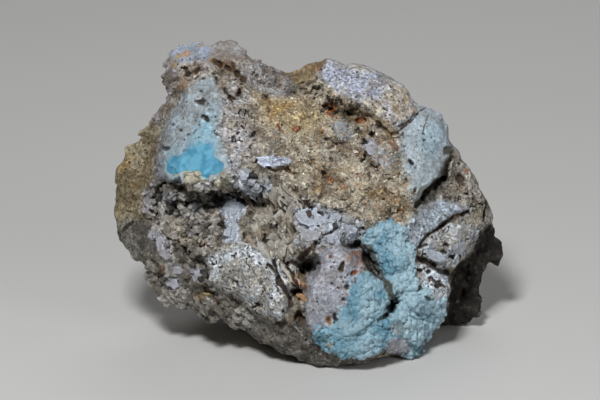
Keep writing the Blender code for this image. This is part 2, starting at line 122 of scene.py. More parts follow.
# Zones of the face. Later ones lie over earlier ones.
ZONES = {
    "basin": ([(-16, 28), (-9, 28), (-3, 27.5), (2, 31), (6, 30), (11, 27.5), (16, 25), (21, 22),
               (25, 19), (25, 12), (26, 6), (27, 1), (28.5, -4), (24, -6.5), (18, -5), (12, -3),
               (3, 0.5), (-1, 4), (-6, 7), (-4, 11), (-12, 14)],
              (182, 175, 160), (118, 104, 84), 0.45, 0.7, 1.0, 0.1),
    "yellow_basin": ([(-12, 27), (-4, 26), (3, 25), (5, 21), (1, 17.5), (-6, 18), (-11, 21)],
                     (178, 164, 132), (150, 138, 114), 0.3, 0.5, 1.0, 0.0),
    "saddle": ([(-16.5, 33), (-11, 37.5), (-5, 33.5), (-1.2, 34.5), (-2, 30.5), (-3.5, 27),
                (-9, 27.5), (-14, 29.5)], (156, 154, 154), (112, 106, 102), 0.3, 0.5, 0.8, 0.2),
    "horn": ([(-36.5, 34.6), (-33, 40.5), (-28.5, 42), (-17, 42.5), (-10.5, 36.8), (-14, 34.4),
              (-20, 36.2), (-23, 34.5), (-26, 31.5), (-31, 32)],
             (152, 149, 149), (132, 120, 108), 0.0, 0.35, 0.25, 0.1),
    "horn_top": ([(-34.5, 38), (-30, 41.5), (-25, 41.8), (-23.6, 38.5), (-24.5, 36), (-29, 35.5),
                  (-32.5, 36)], (150, 162, 180), (140, 140, 144), 0.0, 0.2, 0.1, 0.0),
    "horn_side": ([(-37, 35), (-34.0, 36.5), (-32.2, 33), (-32, 29.5), (-34.6, 25), (-36.6, 20),
                   (-39, 20)], (136, 130, 134), (104, 94, 84), 0.5, 0.5, 0.3, 0.0),
    "horn_hollow": ([(-31, 35), (-28, 35), (-25.5, 34), (-26.5, 31.5), (-30, 29.5), (-32, 29.5)],
                    (170, 158, 144), (124, 106, 88), 0.6, 0.8, 0.4, 0.0),
    "patch_face": ([(-31.5, 25.5), (-29.5, 28.8), (-27, 31), (-24, 32), (-21, 30.5), (-19, 26),
                    (-17.5, 22), (-16, 18), (-15, 13), (-17, 9), (-19.5, 8), (-24, 5.5),
                    (-34.5, 6), (-36.4, 9), (-35.8, 16), (-34, 21.5)],
                   (162, 174, 182), (140, 146, 148), 0.0, 0.35, 0.0, 0.0),
    "patch_right": ([(-21, 33), (-16, 30), (-13, 24), (-11.5, 16), (-12, 10), (-16, 8), (-18.6, 9.5),
                     (-19.6, 14), (-22, 18), (-20, 25)],
                    (175, 174, 178), (146, 138, 126), 0.2, 1.0, 0.2, 0.9),
    "left_shoulder": ([(-51, 9), (-48, 16), (-42, 19), (-38.8, 23), (-36.8, 17), (-37.4, 9),
                       (-39, 3), (-40, -2), (-43, -6), (-50, -7), (-51, 0)],
                      (140, 131, 108), (108, 95, 69), 0.12, 1.0, 0.3, 0.0),
    "lilac_band": ([(-38, 8), (-37, 16), (-35.6, 17), (-35, 8), (-36.5, 3), (-38.5, -3), (-41, -2),
                    (-40, 3)], (142, 138, 144), (108, 104, 104), 0.4, 0.4, 0.3, 0.0),
    "left_grey": ([(-50.5, -6), (-44, -3.5), (-39, -4), (-37, -10), (-38, -17), (-40, -23),
                   (-46, -15)], (112, 110, 104), (70, 66, 60), 0.2, 1.0, 0.4, 0.0),
    "recess": ([(-37.6, 6), (-30, 4.4), (-22, 4.4), (-16, 5), (-14.2, 1.5), (-18, -0.5),
                (-20.5, -3), (-21, -7), (-24, -11), (-29, -13.2), (-34, -12.5), (-37, -8),
                (-39, -3)], (158, 155, 150), (82, 75, 66), 1.0, 0.5, 0.5, 0.0),
    "white_plates": ([(-20.6, 1.6), (-17, 2.4), (-13.4, 1.3), (-14.2, -1.4), (-16, -3.2), (-16.3, -6),
                      (-15.8, -9.4), (-19.8, -9.8), (-19.4, -6), (-20.2, -3), (-21.2, -1)],
                     (172, 180, 194), (150, 150, 150), 0.2, 0.5, 0.0, 0.5),
    "bladed": ([(-14.5, 2), (-9, 6), (-3, 5), (1, 1), (-2, -2), (-2, -9), (-6, -14), (-9, -14),
                (-13, -10), (-12, -4)], (174, 169, 159), (122, 110, 92), 0.55, 0.6, 0.3, 0.5),
    "under_patch": ([(-24.8, 6.2), (-19.5, 8.2), (-16.5, 8.5), (-12.2, 10), (-10.4, 6.5),
                     (-11, 4.2), (-15, 2.4), (-20, 3.8), (-27, 4.4), (-29.5, 8), (-26.5, 8)],
                    (182, 183, 184), (148, 138, 120), 0.4, 0.5, 0.2, 0.6),
    "white_middle": ([(-2.2, -0.8), (3, -0.1), (9.6, -2.1), (14, -4.3), (14.5, -7), (11, -9.5),
                      (6, -9.5), (1.5, -11), (-2.5, -9.5), (-2.5, -4)],
                     (168, 174, 183), (140, 138, 136), 0.35, 0.5, 0.0, 0.9),
    "lower_crust": ([(-25, -13.5), (-19, -9), (-14, -9.5), (-9, -13), (-4, -12), (-1, -14),
                     (-3, -24), (-5.5, -28.5), (-12, -26), (-16.5, -23.8), (-22, -21.2),
                     (-24, -18)], (184, 190, 196), (158, 154, 144), 0.08, 0.7, 0.0, 1.0),
    "lower_left": ([(-38, -12), (-30, -13), (-25, -14), (-24, -19), (-20, -23), (-12, -27),
                    (-14, -33), (-22, -30), (-32, -27), (-41, -22)],
                   (146, 143, 138), (98, 92, 82), 0.4, 0.5, 0.5, 0.0),
    "lower_flank": ([(-12, -26.5), (-5.5, -29), (0, -29), (4, -35), (11, -38), (20, -38),
                     (30, -40), (9, -44), (2, -43), (-6, -39.5), (-16, -33)],
                    (110, 107, 101), (72, 68, 61), 0.2, 0.9, 0.6, 0.1),
    "dome_tan": ([(-5.5, 33), (2, 37), (6.6, 36.4), (4.8, 33.2), (1.4, 31.2), (-1.4, 29.4)],
                 (138, 122, 94), (110, 92, 64), 0.2, 0.3, 0.5, 0.0),
    "dome": ([(3, 32.5), (6.5, 37), (12, 37), (20, 36), (26, 32), (29, 28), (31, 25), (26.5, 20.6),
              (23.4, 18.6), (19.4, 22.2), (13.0, 25.8), (7.4, 28.6)],
             (172, 179, 197), (148, 144, 142), 0.0, 1.0, 0.1, 0.0),
    "dome_mottled": ([(20, 31), (27, 29), (30, 24.6), (25.5, 20.3), (21.6, 20.4), (17, 24.2)],
                     (186, 186, 190), (164, 154, 138), 0.0, 1.0, 0.1, 0.1),
    "pale_plane": ([(27.2, 24.2), (31, 25.5), (37, 22.5), (38.5, 15), (35.2, 10), (34.6, 7),
                    (31, 4), (27.5, 0), (25.5, 4), (24, 9), (23.5, 14), (24.2, 19)],
                   (176, 190, 200), (150, 162, 168), 0.0, 0.3, 0.0, 0.0),
    "right_tan": ([(37.2, 17), (43, 12), (47, 4), (49, -1), (50, -5), (44.5, -5.8), (42, -3),
                   (38, 0.5), (33.5, 2.5), (35.2, 6.5)],
                  (156, 151, 144), (116, 108, 98), 0.2, 0.7, 0.3, 0.5),
    "lilac_ridge": ([(24, -6.5), (28.7, -0.8), (33, 1.4), (38, 0.2), (41, -1.2), (37.6, -2.9),
                     (34, -5.0), (30, -7.8), (28.4, -10.2), (26.4, -10.5)],
                    (176, 192, 208), (146, 152, 158), 0.1, 0.6, 0.0, 0.4),
    "lower_ridge": ([(28.4, -10.2), (34.5, -5.2), (41, -2.3), (44.4, -5.8), (42.6, -10.3),
                     (37.4, -15.6), (33, -16), (28.4, -13)],
                    (172, 176, 180), (140, 134, 124), 0.3, 0.6, 0.1, 0.6),
    # Painted shade: the rock low on the right, under the overhang, is coloured far darker than the rock
    # itself.
    "shaded_back_rock": ([(46.5, -5), (53, -9), (53, -16), (49, -18), (48, -26), (45, -32), (34, -33),
                   (35.4, -25), (36.4, -19), (38, -15.4), (42.7, -11), (43.3, -7.5)],
                  (34, 30, 25), (17, 15, 13), 0.3, 0.2, 0.0, 0.0),
    "crust_ground": (CRUST, (146, 178, 192), (104, 138, 150), 0.0, 0.2, 0.2, 0.0),
    "island": ([(27.2, -15.4), (30, -14.2), (33.2, -15.6), (35.4, -18.3), (36.2, -21), (35.2, -23.3),
                (33, -24.6), (30, -22), (27.3, -21.3)],
               (190, 201, 211), (158, 154, 150), 0.1, 1.0, 0.0, 0.6),
    "lilac_block": ([(3, -11.6), (6, -10), (12.5, -9.8), (15, -12.5), (13.6, -16.7), (12.2, -18.5),
                     (11.6, -21), (10.8, -25.4), (9, -28), (6, -30.5), (2.2, -31), (0.3, -29.5),
                     (-0.2, -24), (0.3, -18.5), (1.8, -15.5)],
                    (162, 165, 176), (140, 139, 143), 0.0, 0.4, 0.0, 0.15),
}

# Zones that blend softly into the next: half the width of the blend, in millimetres
SOFT = {
    "basin": 1.5, "yellow_basin": 2.8, "dome": 1.0, "dome_mottled": 1.6, "horn": 1.2, "horn_top": 1.0,
    "horn_side": 1.2, "horn_hollow": 1.2, "patch_right": 1.6, "patch_face": 1.2, "left_shoulder": 1.5,
    "left_grey": 1.5, "recess": 1.0, "bladed": 1.5, "white_middle": 0.9, "lower_crust": 1.0,
    "lilac_ridge": 1.4, "right_tan": 1.6, "pale_plane": 1.8, "island": 1.0, "lilac_block": 0.8,
    "crust_ground": 1.2, "lower_left": 1.2,
}

# What lies outside the zones: the sides, the back and the underside
REST = ((146, 140, 129), (92, 83, 70), 0.4, 0.6, 0.4, 0.3)

# Colours that features have, as sRGB. The black one is painted shade: the dark inside deep holes and cracks.
TONES = {
    "black": (22, 19, 15), "brown": (72, 52, 34), "rust": (146, 78, 34), "orange": (170, 126, 80),
    "ochre": (164, 132, 74), "olive": (62, 58, 40), "green": (26, 44, 38), "white": (170, 178, 190),
    "lilac": (160, 160, 168), "tan": (158, 149, 133), "teal": (84, 122, 134), "grey": (150, 150, 152),
    "sky": (132, 182, 204), "cream": (186, 176, 150), "glass": (146, 149, 150), "umber": (112, 88, 54),
    "amber": (196, 164, 112), "lozenge": (200, 210, 230),
}

# Holes and pits: x, u, half length, half width, turn in degrees, depth, tone
HOLES = [
    (-21.6, 35.5, 1.6, 0.9, -35, 1.3, "brown"), (-19.4, 34.2, 1.5, 0.8, -30, 1.5, "brown"),
    (-17.0, 32.8, 1.3, 0.7, -30, 1.4, "brown"), (-15.2, 31.4, 1.3, 0.9, -20, 1.4, "brown"),
    (-18.2, 35.2, 0.9, 0.6, 10, 0.9, "brown"), (-20.8, 33.2, 0.9, 0.5, 30, 0.6, "umber"),
    (-29.9, 34.0, 0.9, 0.7, 0, 1.6, "black"), (-29.1, 32.8, 0.9, 0.7, 30, 1.4, "black"),
    (-27.0, 33.5, 1.4, 0.8, 20, 0.9, "brown"), (-26.3, 25.6, 1.2, 0.5, -15, 1.2, "black"),
    (-25.4, 26.2, 0.6, 0.3, 50, 0.8, "brown"), (-24.1, 21.2, 1.1, 0.6, -50, 1.6, "black"),
    (-25.0, 21.9, 0.8, 0.35, -5, 0.9, "brown"), (-28.8, 17.5, 0.9, 0.45, -10, 0.9, "brown"),
    (-31.1, 18.8, 0.6, 0.35, -40, 0.8, "brown"), (-32.8, 20.1, 0.35, 0.3, 0, 0.6, "black"),
    (-26.1, 15.5, 0.45, 0.3, 0, 0.5, "black"), (-22.2, 17.6, 1.3, 0.45, -32, 1.0, "black"),
    (-16.3, 28.0, 1.7, 0.9, 78, 2.0, "brown"), (-22.2, 31.6, 0.45, 0.4, 0, 0.8, "black"),
    (-22.1, 30.6, 0.6, 0.5, 0, 0.9, "black"), (-24.4, 33.9, 0.4, 0.35, 0, 0.7, "black"),
    (-27.2, 31.6, 0.5, 0.45, 0, 0.8, "black"), (-25.4, 31.6, 0.4, 0.4, 0, 0.7, "black"),
    (-25.7, 28.4, 0.4, 0.35, 0, 0.7, "black"), (-16.5, 17.9, 0.7, 0.6, 0, 1.0, "brown"),
    (-34.4, 13.9, 1.1, 0.5, 10, 1.2, "black"), (-30.0, 13.5, 0.4, 0.3, 0, 0.5, "brown"),
    (-32.6, 5.7, 1.4, 0.7, 0, 1.6, "black"), (-33.0, -1.1, 2.2, 1.3, 80, 2.4, "black"),
    (-25.0, -0.4, 1.5, 1.2, 20, 2.2, "black"), (-20.7, 2.0, 2.6, 1.2, 25, 2.6, "black"),
    (-17.2, 4.6, 1.2, 0.7, 70, 2.0, "black"), (-25.9, 2.7, 1.2, 0.6, 0, 1.4, "black"),
    (-36.8, 0.7, 1.4, 0.9, 70, 1.6, "black"), (-20.8, -5.1, 1.1, 0.8, 70, 1.6, "black"),
    (-30.6, 4.1, 1.4, 0.5, -12, 1.2, "black"), (-36.0, -15.6, 2.2, 0.9, -56, 2.2, "brown"),
    (-35.4, -17.3, 0.8, 0.6, -50, 2.0, "black"), (-24.8, -17.6, 2.2, 0.8, 84, 2.6, "black"),
    (-23.3, -27.0, 1.0, 0.8, 0, 1.8, "black"), (-20.3, -25.7, 1.0, 0.5, 20, 1.2, "black"),
    (-2.4, -14.4, 1.8, 0.9, -30, 1.2, "brown"), (0.4, -15.0, 1.9, 1.0, 20, 2.0, "black"),
    (-0.9, -17.2, 1.7, 1.0, -50, 1.4, "umber"), (-2.0, -21.2, 1.5, 0.8, 0, 2.4, "black"),
    (-0.9, -28.1, 1.9, 0.8, -62, 2.2, "brown"), (-5.8, -29.5, 1.5, 1.1, 0, 1.2, "olive"),
    (-5.4, -26.3, 0.7, 0.5, 60, 1.4, "black"), (-11.4, -24.6, 0.8, 0.5, -30, 1.0, "brown"),
    (9.2, -15.4, 1.4, 0.65, 80, 1.3, "brown"), (12.3, -16.5, 0.9, 0.7, 20, 1.0, "rust"),
    (8.75, -17.6, 0.5, 0.3, 80, 0.8, "black"), (10.3, -20.1, 0.9, 0.7, 30, 1.2, "brown"),
    (8.1, -20.2, 0.6, 0.35, -20, 0.8, "brown"), (6.4, -19.2, 0.4, 0.3, 0, 0.7, "black"),
    (6.3, -17.9, 0.35, 0.3, 0, 0.6, "black"), (9.3, -23.3, 0.6, 0.5, 0, 1.2, "black"),
    (7.4, -27.7, 1.0, 0.5, 80, 1.0, "black"), (5.8, -28.8, 1.3, 0.8, -65, 1.0, "orange"),
    (6.5, -12.8, 0.6, 0.55, 0, 0.9, "rust"), (21.7, -25.0, 2.9, 1.4, 62, 3.2, "green"),
    (19.6, -27.4, 1.6, 0.8, 30, 2.2, "green"), (30.2, -22.9, 1.0, 0.45, -25, 1.2, "black"),
    (28.4, -16.0, 0.9, 0.5, 0, 1.2, "black"), (30.9, -16.5, 0.8, 0.7, -40, 1.3, "black"),
    (31.0, -18.3, 0.7, 0.6, 0, 1.2, "brown"), (28.6, -20.6, 0.8, 0.5, 70, 1.2, "black"),
    (30.6, -20.1, 0.4, 0.35, 0, 0.8, "black"), (32.9, -20.0, 0.45, 0.35, 0, 0.8, "black"),
    (35.3, 13.6, 1.4, 0.9, 60, 1.2, "olive"), (26.4, 10.3, 1.3, 0.55, -62, 1.4, "black"),
    (25.1, 6.5, 0.8, 0.5, 0, 1.2, "black"), (27.3, 3.6, 0.9, 0.6, 70, 1.2, "brown"),
    (38.7, 6.3, 1.3, 1.0, -20, 1.4, "brown"), (34.0, -5.1, 1.2, 0.8, 20, 1.6, "brown"),
    (40.9, 3.0, 0.6, 0.35, -70, 0.8, "black"), (42.1, 1.5, 0.6, 0.35, -50, 0.8, "black"),
    (43.0, 0.8, 0.4, 0.3, 0, 0.7, "black"), (36.7, -12.9, 0.9, 0.5, 0, 1.2, "black"),
    (35.2, -9.8, 0.9, 0.4, -20, 1.0, "black"), (34.0, -11.4, 1.1, 0.35, -15, 0.9, "black"),
    (4.6, 7.4, 1.4, 0.6, -45, 1.5, "brown"), (-2.2, 4.1, 1.3, 0.6, -55, 1.5, "brown"),
    (-1.1, 1.8, 0.8, 0.5, 70, 1.4, "black"), (0.1, 0.6, 1.4, 0.7, -25, 1.2, "brown"),
    (14.8, 11.7, 1.0, 0.75, 60, 2.0, "black"), (16.7, 9.9, 0.8, 0.6, 60, 1.6, "black"),
    (15.9, 7.3, 1.1, 0.5, 85, 1.4, "black"), (6.5, 11.2, 0.9, 0.45, -60, 1.1, "brown"),
    (-2.4, 14.4, 0.8, 0.4, -50, 1.0, "brown"), (-7.1, -5.8, 1.4, 0.7, 75, 1.8, "black"),
    (-5.6, 0.8, 0.9, 0.35, 10, 1.2, "black"), (-5.6, -0.7, 0.9, 0.6, 15, 1.4, "black"),
    (-2.9, -5.8, 1.4, 0.6, -50, 1.4, "brown"), (-9.6, -8.6, 1.2, 0.45, 70, 1.3, "black"),
    (-14.9, -7.9, 0.8, 0.6, 40, 1.3, "black"), (4.0, -1.8, 0.9, 0.45, -15, 1.1, "black"),
    (7.6, -1.2, 0.5, 0.45, 60, 1.0, "black"), (-10.2, 27.1, 1.2, 1.1, 0, 2.0, "brown"),
    (-9.1, 23.75, 1.0, 0.6, 70, 1.4, "brown"), (-6.65, 19.5, 1.1, 0.4, -60, 1.1, "rust"),
    (-2.4, 19.1, 1.4, 0.8, -10, 1.3, "rust"), (-12.7, 17.5, 0.9, 0.5, 45, 1.3, "black"),
    (6.7, 23.5, 2.0, 1.3, 70, 2.6, "rust"), (8.1, 23.5, 1.2, 1.0, 60, 3.0, "black"),
    (10.7, 22.7, 2.2, 1.0, -15, 2.0, "olive"), (13.4, 18.8, 1.3, 0.8, -35, 2.4, "black"),
    (13.9, 21.1, 1.3, 0.9, 70, 1.6, "rust"), (16.6, 17.5, 1.4, 1.2, 0, 2.2, "olive"),
    (15.0, 15.9, 1.0, 0.6, -40, 2.0, "black"), (5.4, 16.4, 0.8, 0.5, 0, 1.3, "black"),
    (-3.1, 28.2, 0.7, 0.4, -20, 1.1, "black"), (29.5, 17.8, 0.4, 0.35, 0, 0.6, "black"),
    (29.7, 16.2, 0.45, 0.35, 0, 0.7, "black"), (-12.0, 32.6, 0.8, 0.6, 0, 1.2, "black"),
    (-10.4, 33.6, 0.7, 0.5, 0, 1.0, "brown"), (14.6, -36.2, 0.9, 0.7, 0, 1.0, "teal"),
    (28.4, -36.0, 1.6, 1.0, 50, 1.4, "teal"), (-4.3, 12.8, 0.4, 0.3, 0, 0.6, "black"),
    (-8.9, 6.6, 0.9, 0.35, -15, 1.1, "brown"),
]

# Cracks and gaps: line, half width, depth, tone
CRACKS = [
    ([(-9.0, -14.5), (-7.4, -17.0), (-6.2, -19.6), (-4.8, -22.0)], 0.4, 1.0, "brown"),
    ([(-5.4, -13.6), (-3.4, -16.6), (-1.6, -20.2)], 0.45, 1.2, "brown"),
    ([(-23.0, 36.0), (-20.1, 34.9), (-17.0, 33.1), (-15.0, 31.6)], 0.7, 0.6, "umber"),
    ([(-20.0, 28.7), (-19.4, 27.7), (-18.8, 26.9), (-17.4, 26.4)], 0.4, 1.2, "black"),
    ([(-18.9, 26.9), (-18.2, 25.8)], 0.5, 1.2, "brown"),
    ([(-1.1, 29.2), (0.6, 30.2), (2.8, 31.6)], 0.55, 1.8, "brown"),
    ([(30.0, 24.4), (28.0, 22.6), (26.4, 20.8), (24.2, 19.1), (22.2, 17.4)], 0.28, 1.0, "brown"),
    ([(27.4, 22.8), (25.8, 21.0), (23.6, 19.6)], 0.3, 0.8, "brown"),
    ([(30.7, 22.4), (30.0, 20.4), (29.6, 18.4)], 0.22, 0.5, "brown"),
    ([(37.0, 13.2), (35.9, 10.8), (35.0, 8.4), (34.5, 6.7), (32.9, 5.7), (31.3, 4.4), (30.0, 3.2),
      (28.7, 1.5), (27.6, 0.0)], 0.85, 2.8, "olive"),
    ([(34.6, 6.9), (33.0, 6.1), (31.4, 4.9), (30.1, 3.7), (28.6, 2.1)], 0.4, 3.2, "black"),
    ([(40.9, -1.3), (37.6, -2.9), (36.0, -3.8), (34.5, -4.6), (33.1, -5.6), (31.3, -6.9), (30.0, -7.8),
      (28.7, -9.8)], 0.5, 1.8, "brown"),
    ([(27.1, -10.9), (30.2, -9.9)], 0.3, 1.0, "black"),
    ([(27.6, -13.0), (30.6, -14.4), (33.4, -16.4), (35.6, -17.0)], 0.6, 2.2, "black"),
    ([(11.0, -10.2), (13.6, -9.6), (15.6, -10.6), (17.0, -12.8), (17.8, -15.6), (18.8, -17.4),
      (20.8, -20.4), (21.2, -22.6)], 0.95, 3.2, "olive"),
    ([(15.0, -12.6), (15.6, -15.0), (16.6, -16.9), (18.6, -18.2)], 0.75, 2.4, "black"),
    ([(-12.9, 7.9), (-13.8, 6.5), (-12.2, 5.6), (-10.9, 4.6)], 0.5, 1.8, "black"),
    ([(-10.6, 4.0), (-11.4, 2.9), (-12.7, 1.6), (-14.9, 0.7), (-16.4, 1.6), (-17.2, 3.4)], 0.75, 2.6,
      "black"),
    ([(-9.3, 9.2), (-7.3, 8.5), (-4.2, 8.6), (-2.8, 7.8)], 0.45, 1.2, "brown"),
    ([(-7.8, -13.8), (-7.2, -16.0), (-6.4, -18.0)], 0.45, 1.6, "black"),
    ([(-6.4, -18.1), (-5.2, -20.4), (-3.8, -23.2), (-3.4, -24.8)], 0.55, 1.6, "brown"),
    ([(0.5, -1.8), (2.1, -2.9)], 0.3, 0.9, "brown"), ([(-1.3, -4.6), (0.7, -5.6)], 0.3, 0.9, "black"),
    ([(7.2, -3.7), (7.9, -5.5), (6.1, -6.9), (4.2, -7.4)], 0.4, 1.2, "black"),
    ([(2.6, -9.4), (0.6, -11.4), (-1.2, -13.2)], 0.7, 1.4, "brown"),
    ([(-8.6, -0.4), (-7.0, -2.4), (-6.6, -4.0)], 0.35, 1.2, "black"),
    ([(-4.0, -4.6), (-2.6, -6.6)], 0.4, 1.2, "brown"), ([(-9.5, -5.9), (-10.2, -8.8)], 0.35, 1.2, "brown"),
    ([(-45.5, -6.4), (-42.9, -4.2)], 0.3, 0.8, "black"),
    ([(45.6, 1.0), (44.9, -1.6), (44.6, -4.0)], 0.4, 1.2, "black"),
    ([(10.8, -25.2), (11.2, -27.0)], 0.4, 1.2, "teal"),
    ([(12.4, -22.8), (14.4, -21.8), (16.4, -20.6)], 0.35, 1.0, "teal"),
    ([(17.2, -28.4), (13.4, -31.4), (9.0, -34.4)], 0.35, 0.9, "teal"),
    ([(25.4, -34.2), (27.2, -35.2), (27.4, -38.0)], 0.6, 1.6, "teal"),
    ([(26.0, -27.6), (29.4, -28.4), (32.2, -27.0)], 0.3, 0.8, "teal"),
    ([(-3.6, -29.6), (-0.4, -32.6), (3.0, -35.6), (5.4, -37.8)], 0.28, 0.5, "brown"),
    ([(-2.6, -30.0), (0.6, -33.4), (4.0, -36.8)], 0.28, 0.5, "grey"),
    ([(-25.0, -20.0), (-23.2, -22.4), (-21.4, -24.0)], 0.5, 1.2, "brown"),
]

# Small moves of the stone's edge within the face's plane: x, u, reach, way right, way up
NUDGES = [
    (-33.0, 38.8, 5.0, 0.0, 1.2), (-27.5, 41.0, 5.5, 0.0, 2.2), (-14.5, 38.0, 6.0, 0.4, 1.0),
    (-35.0, 33.0, 5.0, -1.4, 0.0), (-36.7, 25.4, 4.0, 0.9, 0.0), (-40.4, 18.0, 4.5, -1.0, 0.5),
    (-43.8, 15.2, 4.0, -0.4, 1.0), (-47.0, 12.0, 3.5, 1.0, -0.5), (-47.0, -7.5, 5.0, -0.8, -0.7),
    (-40.0, -15.8, 4.0, 0.9, 0.4), (-38.0, -21.0, 6.0, 0.6, 0.5), (-28.5, -27.5, 5.0, 0.3, 0.6),
    (-18.5, -31.0, 4.0, 0.0, -0.9), (-8.0, -36.5, 4.0, 0.0, 1.2), (30.5, -35.5, 4.0, -0.9, 0.3),
    (1.0, 35.0, 3.5, 0.0, 0.9), (13.5, 35.8, 6.0, 0.0, 1.2), (26.0, 30.0, 4.0, 0.5, 0.6),
    (29.6, 27.0, 3.0, -1.0, -1.0), (37.0, 22.4, 3.2, -1.4, -1.0), (39.6, 14.6, 4.0, 0.5, 0.3),
    (46.0, 1.0, 4.0, 0.5, 0.3), (48.5, -5.0, 5.0, 0.9, 0.0), (49.5, -11.0, 5.0, 1.0, 0.0),
    (26.0, -38.0, 4.0, 0.3, -0.6), (3.5, -39.5, 5.0, 0.0, -0.6), (14.0, -39.5, 5.0, 0.0, -0.6),
]

# Raised plates: outline, height, tone
PLATES = [
    ([(-11.9, 11.9), (-7.8, 12.4), (-5.5, 11.8), (-2.8, 11.1), (-4.2, 10.0), (-6.9, 9.5), (-8.9, 9.5),
      (-10.2, 9.2), (-11.9, 10.4)], 0.5, "lozenge"),
    ([(-2.1, -1.1), (2.9, -0.6), (3.8, -2.0), (6.2, -2.2), (5.6, -4.4), (3.0, -5.0), (0.7, -5.6),
      (-1.5, -4.8)], 0.7, "white"),
    ([(6.4, -2.2), (9.4, -2.6), (8.1, -4.4), (7.0, -6.4), (4.6, -7.4), (5.8, -4.6)], 0.9, "white"),
    ([(-1.5, -5.2), (0.7, -6.0), (4.0, -6.6), (4.5, -7.6), (2.9, -8.7), (0.3, -9.1), (-1.7, -7.3)],
     0.7, "grey"),
    ([(7.9, -5.1), (9.6, -4.2), (13.4, -6.0), (12.5, -7.3), (10.1, -7.8), (8.1, -7.3)], 0.8, "white"),
    ([(-20.3, 0.2), (-18.4, 1.5), (-16.2, 1.9), (-14.0, 1.0), (-14.9, -1.2), (-16.4, -3.2),
      (-16.9, -4.8), (-19.0, -4.9), (-20.4, -2.4)], 0.1, "white"),
    ([(-18.9, -4.6), (-16.9, -4.4), (-16.4, -6.6), (-16.0, -9.0), (-19.0, -9.3), (-19.4, -7.0)],
     0.1, "white"),
]

# Raised blocks: x, u, half length, half width, turn, height, tone
BLOCKS = [
    (-13.7, 4.6, 2.8, 1.9, -12, 1.4, "white"), (-9.1, 4.5, 1.2, 1.1, 20, 0.9, "white"),
    (-14.9, 7.3, 1.6, 1.5, 10, 1.0, "white"), (-27.5, -0.4, 1.6, 1.4, 60, 1.5, "grey"),
    (-31.7, -7.3, 2.4, 1.7, 0, 1.5, "tan"), (-27.2, -7.3, 2.3, 0.95, 15, 1.0, "grey"),
    (-35.3, -10.2, 3.1, 1.6, -66, 1.4, "lilac"), (-37.9, -7.3, 1.4, 1.3, 0, 0.9, "lilac"),
    (-27.8, -8.4, 2.6, 0.9, 20, 0.9, "tan"), (-32.6, -4.6, 1.9, 1.5, 10, 1.1, "tan"),
    (-24.1, -2.6, 2.5, 0.7, 15, 0.9, "tan"), (-33.7, 1.8, 2.0, 1.4, 0, 0.9, "grey"),
    (-19.2, -6.6, 1.6, 1.1, 60, 1.0, "white"), (-33.0, -19.4, 1.9, 1.5, -20, 1.1, "lilac"),
    (-26.6, -17.2, 1.9, 1.0, 78, 1.1, "lilac"), (-31.7, -16.3, 1.5, 1.2, 30, 0.8, "grey"),
    (-27.6, 6.8, 2.2, 1.2, -5, 0.8, "cream"), (-20.9, 6.0, 1.9, 1.3, 10, 0.9, "cream"),
    (-3.5, -17.4, 4.2, 1.0, -50, 1.3, "tan"), (-8.4, -15.4, 2.9, 1.0, -76, 0.9, "grey"),
    (-1.0, -22.6, 1.5, 0.9, -30, 0.8, "orange"), (9.4, 18.4, 3.2, 1.9, -58, 1.2, "glass"),
    (17.8, 12.8, 4.4, 1.9, -46, 1.1, "lilac"), (3.2, 12.6, 2.0, 1.3, -40, 0.5, "cream"),
    (7.0, -8.7, 2.0, 0.9, 12, 0.7, "white"), (-19.0, 0.9, 1.8, 0.6, 20, 0.6, "white"),
    (-16.4, 0.4, 2.1, 0.8, 60, 0.7, "white"), (-18.7, -1.5, 2.0, 0.6, 12, 0.6, "white"),
    (-16.7, -2.6, 1.8, 0.6, 65, 0.5, "white"), (-18.4, -3.9, 1.9, 0.6, 20, 0.5, "white"),
    (-17.5, -6.9, 1.8, 0.7, 75, 0.5, "white"), (-18.9, -8.6, 1.6, 0.6, 10, 0.4, "white"),
    (11.9, -8.6, 1.5, 0.8, -10, 0.7, "white"), (23.1, -35.1, 2.9, 2.0, 0, 1.0, "lilac"),
    (37.8, -11.2, 3.4, 1.5, 32, 0.7, "white"), (32.2, -12.6, 3.2, 1.4, -28, 0.7, "white"),
]

